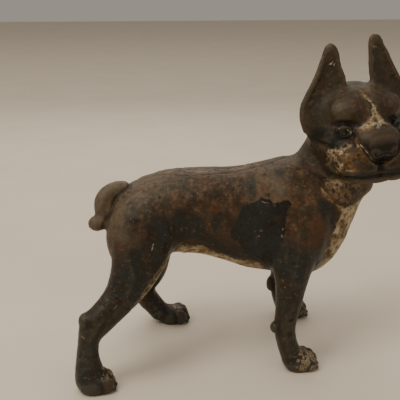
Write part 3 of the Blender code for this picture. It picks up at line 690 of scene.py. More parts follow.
def cut_marks(clay):
    """Cuts the lines of the face, the hollows of the flanks and the creases of the neck and the tail."""
    ahead = (HEAD.to_3x3() @ Vector((1, 0, 0))).normalized()
    face = (HEAD.translation / MM, 65)
    for marks, width, depth in FACE_CUTS:
        for side in (-1, 1) if any(aside for aside, _ in marks) else (1,):
            path = [out_of_head((0, side * aside, high)) for aside, high in marks]
            clay.carve(path, width, depth, ahead, face)
    for cuts, sides, zone in ((FLANK_CUTS, (-1, 1), FLANK_ZONE), (NECK_CUTS, (-1,), NECK_ZONE)):
        for marks, width, depth in cuts:
            for side in sides:
                clay.carve([(along, 0, high) for along, high in marks], width, depth, (0, side, 0), zone)
    clay.carve(TAIL_NOTCH, 2.6, 1.1, (0, 0, 1), ((-67, 0, 146), 14))
    clay.carve(TAIL_CREASE, 2.2, 0.9, (-0.13, -0.95, 0.29), ((-80, -14, 133), 28))


def cut_heels(clay):
    """Slopes each heel up from the floor."""
    for _, y, _, heel in PAWS:
        clay.pare((heel, y, 0), HEEL_SLOPE, ((heel - 2, y, 4), 17))


def past_back_step(points):
    """How far left of the back's step each point is, and a share that fades at the ends of the step."""
    x, y, _ = points.T
    beyond = y - np.interp(x, *np.array(BACK_STEP).T)
    return beyond, smooth_step(x, -54, -42) * smooth_step(-x, -60, -46)


def work_the_seam(clay):
    """Rounds the edges at the seam, lifts the left half along the back, and cuts the back's step."""
    x, y, z = clay.points.T
    upward = smooth_step(clay.normals()[:, 2], 0.3, 0.8) * smooth_step(z, 120, 140)
    upward *= smooth_step(-x, -84, -70)
    edge = np.exp(-np.abs(y) / EDGE_WIDTH)
    lift = smooth_step(y, -0.1, 0.1) * smooth_step(-y, -9, -1) * upward * LEFT_LIFT
    clay.push(lift - EDGE_DEPTH * edge)
    beyond, reach = past_back_step(clay.points)
    raised = smooth_step(beyond, -0.4, 0.5) * smooth_step(-y, -2, 0)
    groove = np.exp(-((beyond + 0.7) / 0.7) ** 2)
    clay.push(reach * upward * (STEP_HEIGHT * raised - GROOVE_DEPTH * groove))


def roughen(clay):
    """The waves, the orange peel and the pits of a sand casting under old paint, calmer on the face."""
    points = clay.points
    calm = 1 - 0.5 * inside_ball(into_head(points), (25, 0, -5), 60, 20)
    sole = smooth_step(points[:, 2], 0.5, 3.0)
    waves = 0.30 * noise(points, 17, 1) + 0.16 * noise(points, 8, 2)
    peel = 0.09 * noise(points, 3.6, 3) + 0.05 * noise(points, 1.9, 4)
    pits = -0.5 * smooth_step(noise(points, 3, 5) + 0.35 * noise(points, 11, 6), 0.62, 0.95)
    blisters = 0.28 * smooth_step(noise(points, 4.2, 7) + 0.4 * noise(points, 15, 8), 0.66, 1.0)
    clay.push(sole * calm * (waves + peel + pits + blisters))


def sculpt_terrier():
    """The whole outside of the terrier as one closed skin."""
    bm = bmesh.new()
    add_soft_forms(bm)
    soft = fused("soft_form", bm, SOFT_GRAIN)
    clay = Clay(soft.data)
    clay.fill_creases(26)
    clay.fill_creases(70, [(out_of_head(place), radius) for place, radius in HEAD_FILLS])
    cut_heels(clay)
    clay.store(soft.data)
    rounder = soft.modifiers.new("rounder", "SUBSURF")
    rounder.levels = rounder.render_levels = 1
    applied(soft)

    bm = bmesh.new()
    bm.from_mesh(soft.data)
    bpy.data.objects.remove(soft)
    for add in (add_eyes, add_nose, add_jaw, add_ear_rims, add_toes):
        add(bm)
    add_limb(bm, TAIL_TIP)
    made = fused("terrier_form", bm, FINE_GRAIN)
    clay = Clay(made.data)
    clay.fill_creases(8)
    clay.soften(2)
    cut_heels(clay)
    cut_marks(clay)
    work_the_seam(clay)
    roughen(clay)
    clay.store(made.data)
    return made


def combine(target, tool, operation):
    """Replaces a closed skin by its union with, its difference from or its overlap with another."""
    step = target.modifiers.new(operation.lower(), "BOOLEAN")
    step.operation = operation
    step.solver = "MANIFOLD"
    step.object = tool
    applied(target)
    bpy.data.objects.remove(tool)


def block(low, high):
    """A cutting block between two corners."""
    bm = bmesh.new()
    bmesh.ops.create_cube(bm, size=1)
    for vert in bm.verts:
        vert.co = [(a + b) / 2 + share * (b - a) for a, b, share in zip(low, high, vert.co)]
    return built("block", bm)


def turned(name, at, profile):
    """A solid turned about an axis along Y through (x, z). The profile lists (y, radius), y rising."""
    bm = bmesh.new()
    bridge(bm, [round_ring(y, radius, at) for y, radius in profile])
    return built(name, bm)


def foundry_core():
    """The hollow that the sand core leaves, with the bosses of both screws left standing in it."""
    bm = bmesh.new()
    add_barrel(bm, TRUNK, WALL)
    add_limb(bm, NECK, WALL)
    add_skull(bm, WALL)
    core = fused("core", bm, CORE_GRAIN)
    clay = Clay(core.data)
    clay.fill_creases(4)
    clay.store(core.data)
    boss = SCREW_HEAD_RADIUS + BOSS_MARGIN
    for at in (FRONT_SCREW, REAR_SCREW):
        combine(core, turned("boss", at, [(-BOSS_REACH, boss), (BOSS_REACH, boss)]), "DIFFERENCE")
    return core


def screw_seat(node):
    """How far from the seam plane the head of a CAD screw sits."""
    _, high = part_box(node)
    return (high[1] - STAND.y) / MM - SCREW_HEAD_HEIGHT


def casting(name, form, side, seats):
    """One half of the terrier, cut from the cored whole. Side is -1 for the right half, 1 for the left."""
    made = new_object(name, form.data.copy())
    bore = SCREW_RADIUS + CLEARANCE
    pocket = SCREW_HEAD_RADIUS + 2 * CLEARANCE
    for at, seat in zip((FRONT_SCREW, REAR_SCREW), seats):
        if side < 0:
            profile = [(-THREAD_GRIP - bore / 2, bore / 2), (-THREAD_GRIP, bore), (bore, bore)]
        else:
            mouth = seat + POCKET_DEPTH
            profile = [(-bore, bore), (seat, bore), (seat, pocket), (mouth, pocket)]
            profile += [(mouth + out, pocket + wider) for out, wider in POCKET_FLARE]
        combine(made, turned("bore", at, profile), "DIFFERENCE")
    low, high = [-0.2, -0.2, 0.0], [0.2, 0.2, 0.3]
    inner = high if side < 0 else low
    inner[1] = side * CLOSED_SEAM / 2 * MM
    combine(made, block(low, high), "INTERSECT")
    return made


def thread_rings(tip, length):
    """The threaded shank, from its tapered tip."""
    rings = []
    for i in range(round(length / THREAD_PITCH * THREAD_STEPS) + 1):
        y = tip + i * THREAD_PITCH / THREAD_STEPS
        taper = min(1.0, 0.78 + 0.22 * (y - tip) / 1.2)
        ring = []
        for turn in circle(ROUND_SIDES):
            wave = abs(((y / THREAD_PITCH - turn / (2 * math.pi)) % 1) * 2 - 1)
            radius = (SCREW_RADIUS - THREAD_HEIGHT * wave) * taper
            ring.append((radius * math.sin(turn), y, radius * math.cos(turn)))
        rings.append(ring)
    return rings


def screw(name, at, seat, slot_turn):
    """A slotted round head machine screw with its thread."""
    tip = -THREAD_GRIP + CLEARANCE
    rings = thread_rings(tip, seat - PLAIN_NECK - tip)
    rings += [round_ring(seat + y, SCREW_RADIUS * share) for y, share in ((-1.2, 0.88), (-0.3, 0.90))]
    dome = [(0, 0.50), (0, 0.985), (0.04, 1.0), (0.26, 1.0)]
    dome += [(0.26 + 0.74 * math.sin(turn), math.cos(turn)) for turn in np.linspace(0.16, 1.45, 12)]
    for rise, share in dome:
        rings.append(round_ring(seat + rise * SCREW_HEAD_HEIGHT, share * SCREW_HEAD_RADIUS))
    bm = bmesh.new()
    bridge(bm, rings)
    made = built(name, bm)
    top = seat + SCREW_HEAD_HEIGHT
    reach = SCREW_HEAD_RADIUS * 1.2
    low = Vector((-reach, top - SLOT_DEPTH, -SLOT_WIDTH / 2)) * MM
    high = Vector((reach, top + SLOT_DEPTH, SLOT_WIDTH / 2)) * MM
    slot = block(low, high)
    slot.data.transform(Matrix.Rotation(slot_turn, 4, "Y"))
    combine(made, slot, "DIFFERENCE")
    made.data.transform(Matrix.Translation(Vector((at[0], 0, at[1])) * MM))
    return made


# Depth of a place outside every outline, the head's middle and radius, and the depth of the throat's cream
FAR_OUT = -12.0
HEAD_MIDDLE = (8, 0, 6)
HEAD_REACH = 64
THIN_CREAM = 0.4

# Painted and worn places on the right flank, seen from the right: outlines of along and up
GLOSSY_BLACK = [
    [
        (14, 131), (16, 135), (23, 135), (26, 137), (31, 138.5), (36, 137), (38, 134), (42, 134),
        (47, 137.5), (51, 137.5), (53, 134), (50, 127), (48, 121), (49.5, 114.5), (47, 107), (45, 100),
        (42, 92), (38, 86), (30, 88), (23, 91), (17, 96.5), (14, 105), (8, 109), (6, 115), (9, 122),
        (13, 127),
    ],
]
SOFT_BLACK = [
    [
        (-37, 127), (-33, 132), (-26.5, 131), (-19, 128), (-14, 123), (-12, 115), (-6, 109), (2, 104),
        (10, 98), (18, 93), (15, 87), (4, 92), (-6, 100), (-11, 106.5), (-20, 109), (-27, 107.5),
        (-34, 106), (-38.5, 112), (-39, 120),
    ],
    [
        (-56, 127), (-48, 131), (-42, 128), (-38, 124), (-37, 110), (-33, 96), (-38, 84), (-50, 74),
        (-62, 66), (-72, 58), (-80, 50), (-92, 50), (-92, 67), (-86, 78), (-83, 88), (-77, 98.6),
        (-70, 106), (-61.5, 109.5), (-57.5, 115.5), (-57, 123),
    ],
    [
        (44, 104), (52, 103), (60, 99), (74, 96), (84, 92), (84, 80), (74, 66), (66, 40), (62, 22),
        (48, 22), (45, 50), (43, 78), (36, 86),
    ],
]
DULL_BLACK = [
    [(21, 151), (28, 151), (28, 147), (28, 143), (25, 140), (22, 141), (20, 145)],
    [(44, 157), (49, 158), (51, 156), (49, 152), (44, 152)],
    [(-9, 144), (-5, 147), (-2.5, 145), (-5, 141), (-9, 141)],
    [(75, 137), (82, 135), (88, 130), (92, 124.5), (91, 116), (90, 111), (83, 114), (77, 121), (73.5, 130)],
    [(-6, 127), (-1, 128), (1, 124), (-2, 118), (-5.5, 114), (-8, 120)],
    [(-73, 131), (-64, 132), (-60, 128), (-63, 124), (-72, 125)],
]
CREAM_FLANK = [
    [
        (-33, 95), (-28, 99), (-21, 103), (-15, 103.5), (-9.5, 100.5), (-4.5, 95.5), (2.5, 90), (11, 86),
        (16.5, 86), (21, 89), (30, 87.5), (36, 81), (38, 60), (-40, 60),
    ],
    [
        (77, 147), (80.6, 143), (84.5, 137.6), (90, 132), (97, 129), (104, 129.6), (113, 131.6), (118, 136),
        (124, 128), (120, 108), (114, 88), (102, 70), (88, 62), (78, 66), (80, 72), (81, 80), (84, 87),
        (82, 95), (87.5, 96.6), (86.4, 105), (89, 111), (92, 117), (95, 123.5), (90, 130), (83, 135.5),
        (78, 140),
    ],
    [(77, 153), (84, 154), (90, 152), (96, 148), (98, 142.5), (92, 140), (86, 144), (80, 148)],
]
# Where little of the cream is left
THROAT = [
    (79, 149), (84, 141), (90, 134), (97, 131), (106, 131), (113, 134), (112, 142), (106, 150), (96, 152),
    (88, 152),
]
RUSTY_FLANK = [
    [
        (54, 141), (60.5, 144), (68.5, 142), (74, 136), (75, 128), (78.5, 118.5), (83, 111), (82, 102.5),
        (74, 100), (62.5, 99), (55.5, 104), (53, 114), (53, 126),
    ],
    [
        (23, 148), (31, 153), (40, 154), (48, 151), (55, 148), (62, 150), (70, 155), (76, 160), (80, 156),
        (72, 148), (62, 143), (57, 141), (49, 140), (39, 139), (31, 140.6), (23.5, 139.4),
    ],
    [(-14, 135), (-7, 135), (-3, 131), (-5.6, 124), (-12, 121), (-15.4, 127)],
    [(42, 86), (48, 84), (49, 70), (47, 60), (46, 49), (44, 40), (42, 42), (42, 53), (43, 64), (43, 75)],
]

# The pale streaks down the front of the thighs, and the breast's outline from the front: side and height
THIGH_STREAK = [(-36, 99), (-43, 91.5), (-50, 85), (-57, 76.5), (-62, 69), (-66, 63)]
FAR_STREAK = [(-26, 99), (-29, 90), (-31, 80), (-33, 70), (-36, 60)]
BREAST = [
    (-21, 122), (-15, 130), (-8, 137), (0, 142), (7, 136), (13, 127), (18, 116), (20, 104), (17, 90),
    (10, 78), (1, 70), (-9, 72), (-17, 84), (-22, 100), (-23, 114),
]

# Pale scratches and painted glints in the gloss of the right side: a path, then its width. Then the pale
# chips of the back, from above
FLANK_CHIPS = [
    ([(-51.9, 111.2), (-52.9, 108.6), (-53.6, 106.4)], 0.55), ([(24.5, 114.2), (25.6, 114)], 0.58),
    ([(29.6, 114.6), (31.6, 114.2)], 0.52), ([(28, 110.6), (28.9, 110.2)], 0.65),
    ([(45.6, 111.4), (46, 110)], 0.58), ([(46.4, 116.2), (46.6, 115)], 0.55),
    ([(30.5, 137), (33, 136), (36, 135.6)], 0.5), ([(-83.6, 66.3), (-82, 68), (-80.6, 69.7)], 0.4),
    ([(-82.6, 64.2), (-82.2, 64)], 0.4), ([(-106.9, 46.7), (-106.7, 46.5)], 0.5),
    ([(-105.5, 45.7), (-105.3, 45.5)], 0.5), ([(46, 77.2), (46.1, 76.6)], 0.5),
    ([(47.3, 72.1), (47.4, 71.6)], 0.45),
]
BACK_CHIPS = [([(24, 2.6), (28.8, 3)], 0.7), ([(19, 1.6), (20, 1.8)], 0.6)]

# The face seen from the front: outlines of side and height in the head's frame
BLAZE = [
    (-3.3, 23.7), (-0.6, 22.8), (0.9, 19.8), (1.1, 17), (2.6, 13.7), (3.3, 9.5), (5.8, 6.2), (8.7, 2.7),
    (12, 0.5), (5, 1), (-0.8, 0.6), (-6.3, 0.6), (-12.7, -1.2), (-16, -4.4), (-18, -2), (-15.6, 1.2),
    (-10.5, 3.6), (-7, 5), (-4.8, 7.4), (-2.5, 11), (-1.8, 14.8), (-3.2, 18), (-4.5, 21),
]
LIP = [
    (-33, -15), (-28, -13), (-23, -10.5), (-18.5, -6.5), (-16, -3), (-16.3, -6.6), (-15.4, -10),
    (-12.4, -15), (-7.6, -21.2), (-8.6, -25), (-12.6, -27), (-18.7, -30), (-23, -29.6), (-27, -29),
    (-30, -31), (-31.5, -23),
]
NOSE = [
    (-16, -5.2), (-13.5, -1.6), (-8.5, 0.2), (-1.7, 0.1), (4.3, -0.6), (8.2, -1.4), (13, -3), (16, -6),
    (15.5, -12), (13, -16), (9, -20.5), (5.2, -24), (1.2, -25), (-4, -24), (-8.5, -18.7), (-12, -14),
    (-14.4, -9.9),
]
MOUTH = [
    (-27, -33), (-21, -33), (-16.4, -31.5), (-8.6, -29.5), (0, -29), (8, -29.5), (16, -31), (24, -33),
    (24, -38), (12, -38.5), (1, -37), (-6, -36), (-13.6, -36.8), (-20, -37),
]
FOREHEAD = [
    (-25.7, 15), (-20, 19.6), (-14, 23.4), (-7.5, 23.5), (-4.8, 19.4), (-3.5, 14.4), (-4.7, 8.4),
    (-9.3, 4.1), (-15.1, 3.1), (-21, 4.9), (-25.5, 2.7), (-28.4, 4.8),
]
# The ear hollows, where painted shade lies
EAR_HOLLOW = [
    (-36.7, 19.8), (-39.4, 14.2), (-40, 8.4), (-39.4, 2.5), (-36.8, -3.3), (-32.8, -4.5), (-30.2, 1.3),
    (-29.7, 9.4), (-28.7, 16), (-29.6, 23.6),
]
# The cheeks, where darker paint and painted shade lie
CHEEK = [
    (-29.3, -7.6), (-24.9, -9.8), (-23.4, -11), (-29.7, -13.1), (-34.4, -11.2), (-37.6, -9.4), (-38, -3),
    (-32, -2),
]

# Chips and bare edges of the face, with two painted glints on the right eye: a path, then its width. Then
# fainter rubbed lines and painted highlights of the face and ears
FACE_CHIPS = [
    ([(-16.4, -9), (-15, -10.9), (-12.9, -14.1), (-10.5, -17.9), (-8.6, -20.4)], 0.58),
    ([(3.1, -25.3), (5.8, -25), (8.5, -23.7), (9.5, -21.4)], 0.35), ([(-6.5, -24.6), (-6.2, -24.2)], 0.5),
    ([(-9.9, -26.2), (-9.5, -26)], 0.4), ([(-20.5, -0.3), (-17.9, -2.3), (-18.5, -3.8)], 0.55),
    ([(-25.4, 0.4), (-24.9, 0.9)], 0.35), ([(-22.6, -3.4), (-22.2, -3.1)], 0.3),
    ([(-22.4, 43.3), (-22.1, 43.3)], 0.35), ([(-21, 43.5), (-20.4, 43.9)], 0.8),
    ([(-19.4, 45), (-19.3, 44.8)], 0.65), ([(-18.9, 42.9), (-18.3, 42.6)], 0.85),
    ([(-17.5, 44.2), (-17.4, 43.9)], 0.4), ([(-19.2, 41.6), (-19, 41.4)], 0.45),
    ([(-17, 42.2), (-16.8, 42.3)], 0.4), ([(-16, 44.9), (-15.9, 46.3)], 0.4),
    ([(-19.8, 38.2), (-19.7, 38)], 0.4), ([(12.6, 55.2), (12.9, 54.2)], 0.45),
    ([(13.6, 53), (14, 52.6)], 0.7), ([(15.8, 52.5), (16.3, 52.1)], 0.55),
]
FACE_SCUFFS = [
    ([(-11, 26.8), (-8, 25.6), (-4.2, 25.3)], 0.8),
    ([(-3, 24.3), (3.3, 24.8), (10.4, 24.5), (11.7, 28.9)], 1),
    ([(7.6, 25.3), (11.4, 26.2), (18.2, 23.6)], 0.8),
    ([(-26.7, 12.8), (-25, 14), (-22.6, 15.2), (-20.2, 15.9)], 0.8),
    ([(-25.7, 16.1), (-25.2, 15.7), (-26.9, 11.5)], 0.6),
    ([(-38.2, 15.5), (-37, 16.9), (-35.8, 17.9)], 0.9), ([(-43.3, 9.2), (-41.7, 11.6)], 0.9),
    ([(-35.4, 21.9), (-33.6, 23.3)], 0.8), ([(-14.9, 37.1), (-13.8, 32.7), (-13.4, 29.8)], 0.7),
    ([(-13, -7), (-12.6, -7.4)], 0.5), ([(-8.3, -15.4), (-7.9, -15)], 0.5),
    ([(-2.2, -16.2), (-1.6, -16)], 0.5), ([(1.7, -15.3), (2.2, -15.2)], 0.5),
    ([(-21.8, -16.5), (-21.2, -16.8)], 0.7), ([(-22.4, -12.9), (-21.9, -12.6)], 0.5),
    ([(-19.7, -21.5), (-19, -21)], 0.5),
]


def deepest(places, outlines):
    """The greatest depth of each place in any of the outlines."""
    return np.max([depth_in_shape(places, outline) for outline in outlines], axis=0)


class Skin:
    """The skin of a casting and the views that its paint is laid out in, in millimetres."""

    def __init__(self, mesh):
        self.mesh = mesh
        self.points = read(mesh.vertices, "co", 3).astype(float) / MM
        self.normals = read(mesh.vertices, "normal", 3).astype(float)
        self.local = into_head(self.points)
        x, y, z = self.points.T
        forward, aside, up = self.local.T
        near_head = away_from(self.local, HEAD_MIDDLE) < HEAD_REACH
        self.near_head = near_head & (up > -40.5) & ((np.abs(aside) < 33.5) | (up > -20))
        ahead = self.normals @ np.array(HEAD.to_3x3() @ Vector((1, 0, 0)))
        self.on_head = self.near_head & (smooth_step(forward, -4, 6) * smooth_step(ahead, -0.35, 0.0) > 0.5)
        self.front_view = self.local[:, 1:]
        self.mirrored = np.stack((-aside - 1.5, up - 0.8), axis=1)
        self.side_view = np.stack((x, z), axis=1)
        left_flank = np.stack((x * 0.97 + 3, z + 2.5), axis=1)
        self.flank_view = np.where((y < 0)[:, None], self.side_view, left_flank)
        self.sideways = smooth_step(np.abs(self.normals[:, 1]), 0.1, 0.5)

    def on_flank(self, outlines):
        """How deep each point of the body is inside outlines seen from the side."""
        depth = np.clip(deepest(self.flank_view, outlines), FAR_OUT, -FAR_OUT)
        return np.where(self.on_head, FAR_OUT, depth)

    def on_face(self, outlines, both=True):
        """How deep each point of the face is inside outlines of its right side, or of both sides."""
        depth = deepest(self.front_view, outlines)
        if both:
            depth = np.maximum(depth, deepest(self.mirrored, outlines))
        return np.where(self.on_head, np.clip(depth, FAR_OUT, -FAR_OUT), FAR_OUT)

    def on_marks(self, view, marks, where):
        """How deep each point is inside thin marks, each a path and a width."""
        depth = np.full(len(self.points), FAR_OUT)
        for path, width in marks:
            depth = np.maximum(depth, width - distance_to_path(view, path))
        return np.where(where, depth, FAR_OUT)

    def relief(self, reach):
        """How far each point stands proud of its surroundings, less than nothing in hollows."""
        edges = read(self.mesh.edges, "vertices", 2, np.int32)
        around = self.points
        for _ in range(reach):
            around = mean_of_neighbours(around, edges)
        return ((self.points - around) * self.normals).sum(axis=1)

    def keep(self, **fields):
        """Keeps one number for each point under each name, which the materials read."""
        for name, values in fields.items():
            field = self.mesh.attributes.new(name, "FLOAT", "POINT")
            field.data.foreach_set("value", np.asarray(values, np.float32))


def dark_places(skin):
    """The darker paint of the legs, the eye sockets, cheeks, jaw and ears, and painted shade that darkens the
    legs and the lower trunk towards the floor and the cheeks and ear hollows, from 0 to 1.
    """
    z = skin.points[:, 2]
    forward, aside, up = skin.local.T
    sockets = np.min([away_from(skin.local, (31.5, side * 22.5, -2.6)) for side in (-1, 1)], axis=0)
    jaw = smooth_step(-up, 5, 22) * smooth_step(up, -43, -37) * smooth_step(forward, 8, 20)
    places = [
        smooth_step(skin.on_flank(SOFT_BLACK), -7, 5) * skin.sideways,
        # Painted shade: darker towards the floor over the legs' darker paint, and darker on the lower trunk
        0.85 * smooth_step(-z, -98, -60),
        0.34 * smooth_step(-z, -150, -112) + 0.30 * smooth_step(-z, -118, -96),
        smooth_step(-sockets, -11, -6),
        # The cheeks: darker paint and painted shade in their hollow
        smooth_step(skin.on_face([CHEEK]), -6, 2),
        0.80 * smooth_step(skin.on_flank(DULL_BLACK), -4, 3),
        # The ear hollows: painted shade, deeper on the right side
        np.where(aside > 0, 0.2, 0.48) * smooth_step(skin.on_face([EAR_HOLLOW]), -5, 3),
        0.35 * jaw * smooth_step(-np.abs(aside), -36, -31) * skin.near_head,
        0.75 * smooth_step(skin.on_face([MOUTH]), -2, 2),
    ]
    return np.max(places, axis=0)


def thigh_streaks(skin):
    """The pale streak down the front of each thigh."""
    x, y, z = skin.points.T
    near, far = (distance_to_path(skin.side_view, path) for path in (THIGH_STREAK, FAR_STREAK))
    streak = np.minimum(3.8 - np.where(y < 0, near, far), 6 * (skin.normals[:, 0] - 0.10))
    return np.where((x < -12) & (z < 101), streak, FAR_OUT)


def cream_places(skin, streaks):
    """The cream of the breast, the belly, the thighs, the blaze and the lips."""
    x, y, z = skin.points.T
    cream = np.maximum(skin.on_flank(CREAM_FLANK), np.minimum(skin.on_flank([THROAT]), THIN_CREAM))
    cream = np.where((x < 40) & ((z < 76) | (np.abs(y) > 33)), FAR_OUT, cream)
    belly = np.min([28 - np.abs(y), z - 62, 36 - x, x + 38, np.full(len(x), 6)], axis=0)
    cream = np.maximum(cream, np.where(skin.normals[:, 2] < -0.30, belly, FAR_OUT))
    cream = np.maximum(cream, streaks)
    left_breast = np.minimum(22 - y, 132 - 0.9 * y - z)
    cream = np.where((y > 0) & (x > 60), np.minimum(cream, left_breast), cream)
    breast = np.minimum(deepest(skin.points[:, 1:], [BREAST]), 8 * (skin.normals[:, 0] - 0.1)) * 0.5
    cream = np.maximum(cream, np.where(x > 86, breast, FAR_OUT))
    cream = np.where(skin.on_head, FAR_OUT, cream)
    cream = np.maximum(cream, skin.on_face([BLAZE, LIP], both=False))
    return np.maximum(cream, np.minimum(skin.on_face([LIP]), skin.local[:, 1] - 21))


def grimy_places(skin, streaks):
    """Where the cream is dulled: by dirt and painted shade on the thigh streaks, and duller on the breast, on
    faces that look sideways and on the lower face.
    """
    x = skin.points[:, 0]
    _, aside, up = skin.local.T
    # Painted shade as well as dirt dulls the cream of the thigh streaks
    body = 0.9 * smooth_step(streaks, -2, 1) + 0.25 * smooth_step(x, 60, 80)
    body = np.maximum(body, 0.3 * smooth_step(np.abs(skin.normals[:, 1]), 0.45, 0.8) * (x < 40))
    head = 1.6 * smooth_step(aside, -25, -19) * smooth_step(-up, 9, 15)
    return np.where(skin.on_head, head, np.clip(body, 0, 1))


def paint_back(skin):
    """The strip beside the back's step, a painted highlight along the step's upper edge, and painted
    highlights on the rump's top, the shoulder and the tail.
    """
    x, y, z = skin.points.T
    beyond, reach = past_back_step(skin.points)
    level = smooth_step(skin.normals[:, 2], 0.3, 0.7) * (z > 130)
    strip = np.min([beyond, 4 - y, (x + 52) / 3, (62 - x) / 3], axis=0)
    # Painted highlights: the rump's top, the shoulder, and the tail at the back
    bloom = [
        0.9 * smooth_step(-x, 20, 62) * smooth_step(z, 134, 150) * ~skin.on_head,
        0.9 * inside_ball(skin.points, (38, -30, 144), 24, 18),
        smooth_step(-x, 66, 76) * smooth_step(z, 108, 116),
    ]
    # A painted highlight along the step's upper edge, on faces that look up
    brink = np.exp(-(((beyond - 0.4) / 0.8) ** 2)) * reach * level
    skin.keep(strip=smooth_step(strip, -0.5, 1.5) * level, brink=brink, tail=np.max(bloom, axis=0))


def paint_head(skin):
    """The nose, the tan of the lips, the matt and dull places of the skull with painted shade in the cheeks
    and ear hollows, and the eyeballs.
    """
    _, aside, up = skin.local.T
    crest = inside_ball(skin.local, HEAD_MIDDLE, HEAD_REACH, 12) * (skin.points[:, 2] > 146)
    lip = smooth_step(skin.on_face([LIP]), 0.5, 4.5)
    lip = np.maximum(lip, 0.75 * smooth_step(-np.abs(aside), -24, -16))
    x, y, z = EYEBALL
    balls = np.min([away_from(skin.local, (x, side * y, z)) for side in (-1, 1)], axis=0)
    skin.keep(
        lip=lip * smooth_step(-up, -2, 4) * skin.near_head,
        # Matt finish on the crown, cheeks and ear hollows, which also carries painted shade in the cheeks and
        # ear hollows
        matt=np.maximum(smooth_step(skin.on_face([CHEEK, EAR_HOLLOW]), -8, 3), 0.7 * crest),
        nose=skin.on_face([NOSE], both=False),
        brow=smooth_step(skin.on_face([FOREHEAD]), -4, 4),
        balls=smooth_step(-balls, -5.3, -4.7),
        crest=crest,
    )


def paint_marks(skin):
    """Chips down to pale primer with painted glints, and rubbed lines with painted highlights."""
    _, y, z = skin.points.T
    chips = [
        skin.on_marks(skin.front_view, FACE_CHIPS, skin.on_head),
        skin.on_marks(skin.side_view, FLANK_CHIPS, (y < -20) & ~skin.on_head),
        skin.on_marks(skin.points[:, :2], BACK_CHIPS, (z > 148) & ~skin.on_head),
    ]
    scuffs = skin.on_marks(skin.front_view, FACE_SCUFFS, skin.on_head)
    skin.keep(chips=np.max(chips, axis=0), scuffs=scuffs)


def paint_fields(mesh):
    """Works out where each paint lies and keeps it on the mesh, in millimetres or as shares from 0 to 1."""
    skin = Skin(mesh)
    streaks = thigh_streaks(skin)
    toes = [reach - away_from(skin.points, (x + 4, y, 8)) for (x, y, _, _), reach in zip(PAWS, WORN_TOES)]
    skin.keep(
        dark=dark_places(skin),
        cream=cream_places(skin, streaks),
        grime=grimy_places(skin, streaks),
        black=skin.on_flank(GLOSSY_BLACK) - 12 * (1 - skin.sideways),
        rust=smooth_step(skin.on_flank(RUSTY_FLANK), -7, 7),
        paws=np.maximum(np.max(toes, axis=0), FAR_OUT),
        proud=skin.relief(14),
        upward=skin.normals[:, 2],
    )
    paint_back(skin)
    paint_head(skin)
    paint_marks(skin)


class Output:
    """What a node gives out. Numbers can be added, taken away and multiplied."""

    def __init__(self, painter, socket):
        self.painter = painter
        self.socket = socket

    def __add__(self, other):
        return self.painter.math("ADD", self, other)

    def __sub__(self, other):
        return self.painter.math("SUBTRACT", self, other)

    def __mul__(self, other):
        return self.painter.math("MULTIPLY", self, other)


class Painter:
    """Builds one node material, a step at a time."""

    def __init__(self, name):
        self.material = bpy.data.materials.new(name)
        self.material.use_nodes = True
        self.tree = self.material.node_tree
        self.place = self.node("ShaderNodeTexCoord", "Object", {})

    def node(self, kind, result, inputs, **settings):
        """What a new node gives out, once its settings are made and its inputs are fed."""
        made = self.tree.nodes.new(kind)
        for name, value in settings.items():
            setattr(made, name, value)
        for name, value in inputs.items():
            self.feed(made.inputs[name], value)
        return Output(self, made.outputs[result])

    def feed(self, socket, value):
        """Links or sets an input."""
        if isinstance(value, Output):
            self.tree.links.new(value.socket, socket)
        else:
            socket.default_value = (*value, 1.0) if socket.type == "RGBA" else value

    def finish(self, inputs):
        """Feeds the shader and hands over the material."""
        for name, value in inputs.items():
            self.feed(self.tree.nodes["Principled BSDF"].inputs[name], value)
        return self.material

    def math(self, operation, a, b):
        """One sum."""
        return self.node("ShaderNodeMath", 0, {0: a, 1: b}, operation=operation)

    def field(self, name):
        """A number kept on the mesh."""
        return self.node("ShaderNodeAttribute", "Fac", {}, attribute_name=name)

    def noise(self, size, detail=4.0, roughness=0.55, shift=0.0):
        """Noise from about -1 to 1, with lumps of about that many millimetres."""
        where = self.place
        if shift:
            place = (shift, shift * 0.7, shift * 1.3)
            where = self.node("ShaderNodeMapping", "Vector", {"Vector": where, "Location": place})
        inputs = {"Vector": where, "Scale": 1000 / (2 * size), "Detail": detail, "Roughness": roughness}
        return (self.node("ShaderNodeTexNoise", "Fac", inputs) - 0.5) * 4.0

    def between(self, value, low, high):
        """From 0 at low to 1 at high."""
        inputs = {"Value": value, "From Min": low, "From Max": high}
        return self.node("ShaderNodeMapRange", "Result", inputs, interpolation_type="SMOOTHSTEP")

    def mix(self, share, first, second):
        """A colour between two."""
        return self.node("ShaderNodeMix", 2, {0: share, 6: first, 7: second}, data_type="RGBA")

    def blend(self, share, first, second):
        """A number between two."""
        return self.node("ShaderNodeMix", 0, {0: share, 2: first, 3: second}, data_type="FLOAT")

    def coats(self, colour, *layers):
        """Lays further colours over a first one, each by its share."""
        for share, top in layers:
            colour = self.mix(share, colour, top)
        return colour

    def bump(self, height, distance, strength, under=None):
        """Relief finer than the mesh."""
        inputs = {"Height": height, "Distance": distance * MM, "Strength": strength}
        if under:
            inputs["Normal"] = under
        return self.node("ShaderNodeBump", 0, inputs)


# Colours, as shares of red, green and blue light
CHOCOLATE = (0.084, 0.048, 0.025)
UMBER = (0.036, 0.021, 0.011)
OLIVE = (0.037, 0.032, 0.019)
TAUPE = (0.158, 0.118, 0.076)
RUST = (0.108, 0.040, 0.013)
ORANGE = (0.260, 0.110, 0.030)
BLACK = (0.0120, 0.0100, 0.0075)
# A bluish grey black, partly painted sheen of the gloss
SLATE = (0.0170, 0.0215, 0.0185)
OLIVE_BLACK = (0.0070, 0.0065, 0.0040)
DARK_BROWN = (0.021, 0.0135, 0.0075)
GLAZE = (0.039, 0.021, 0.010)
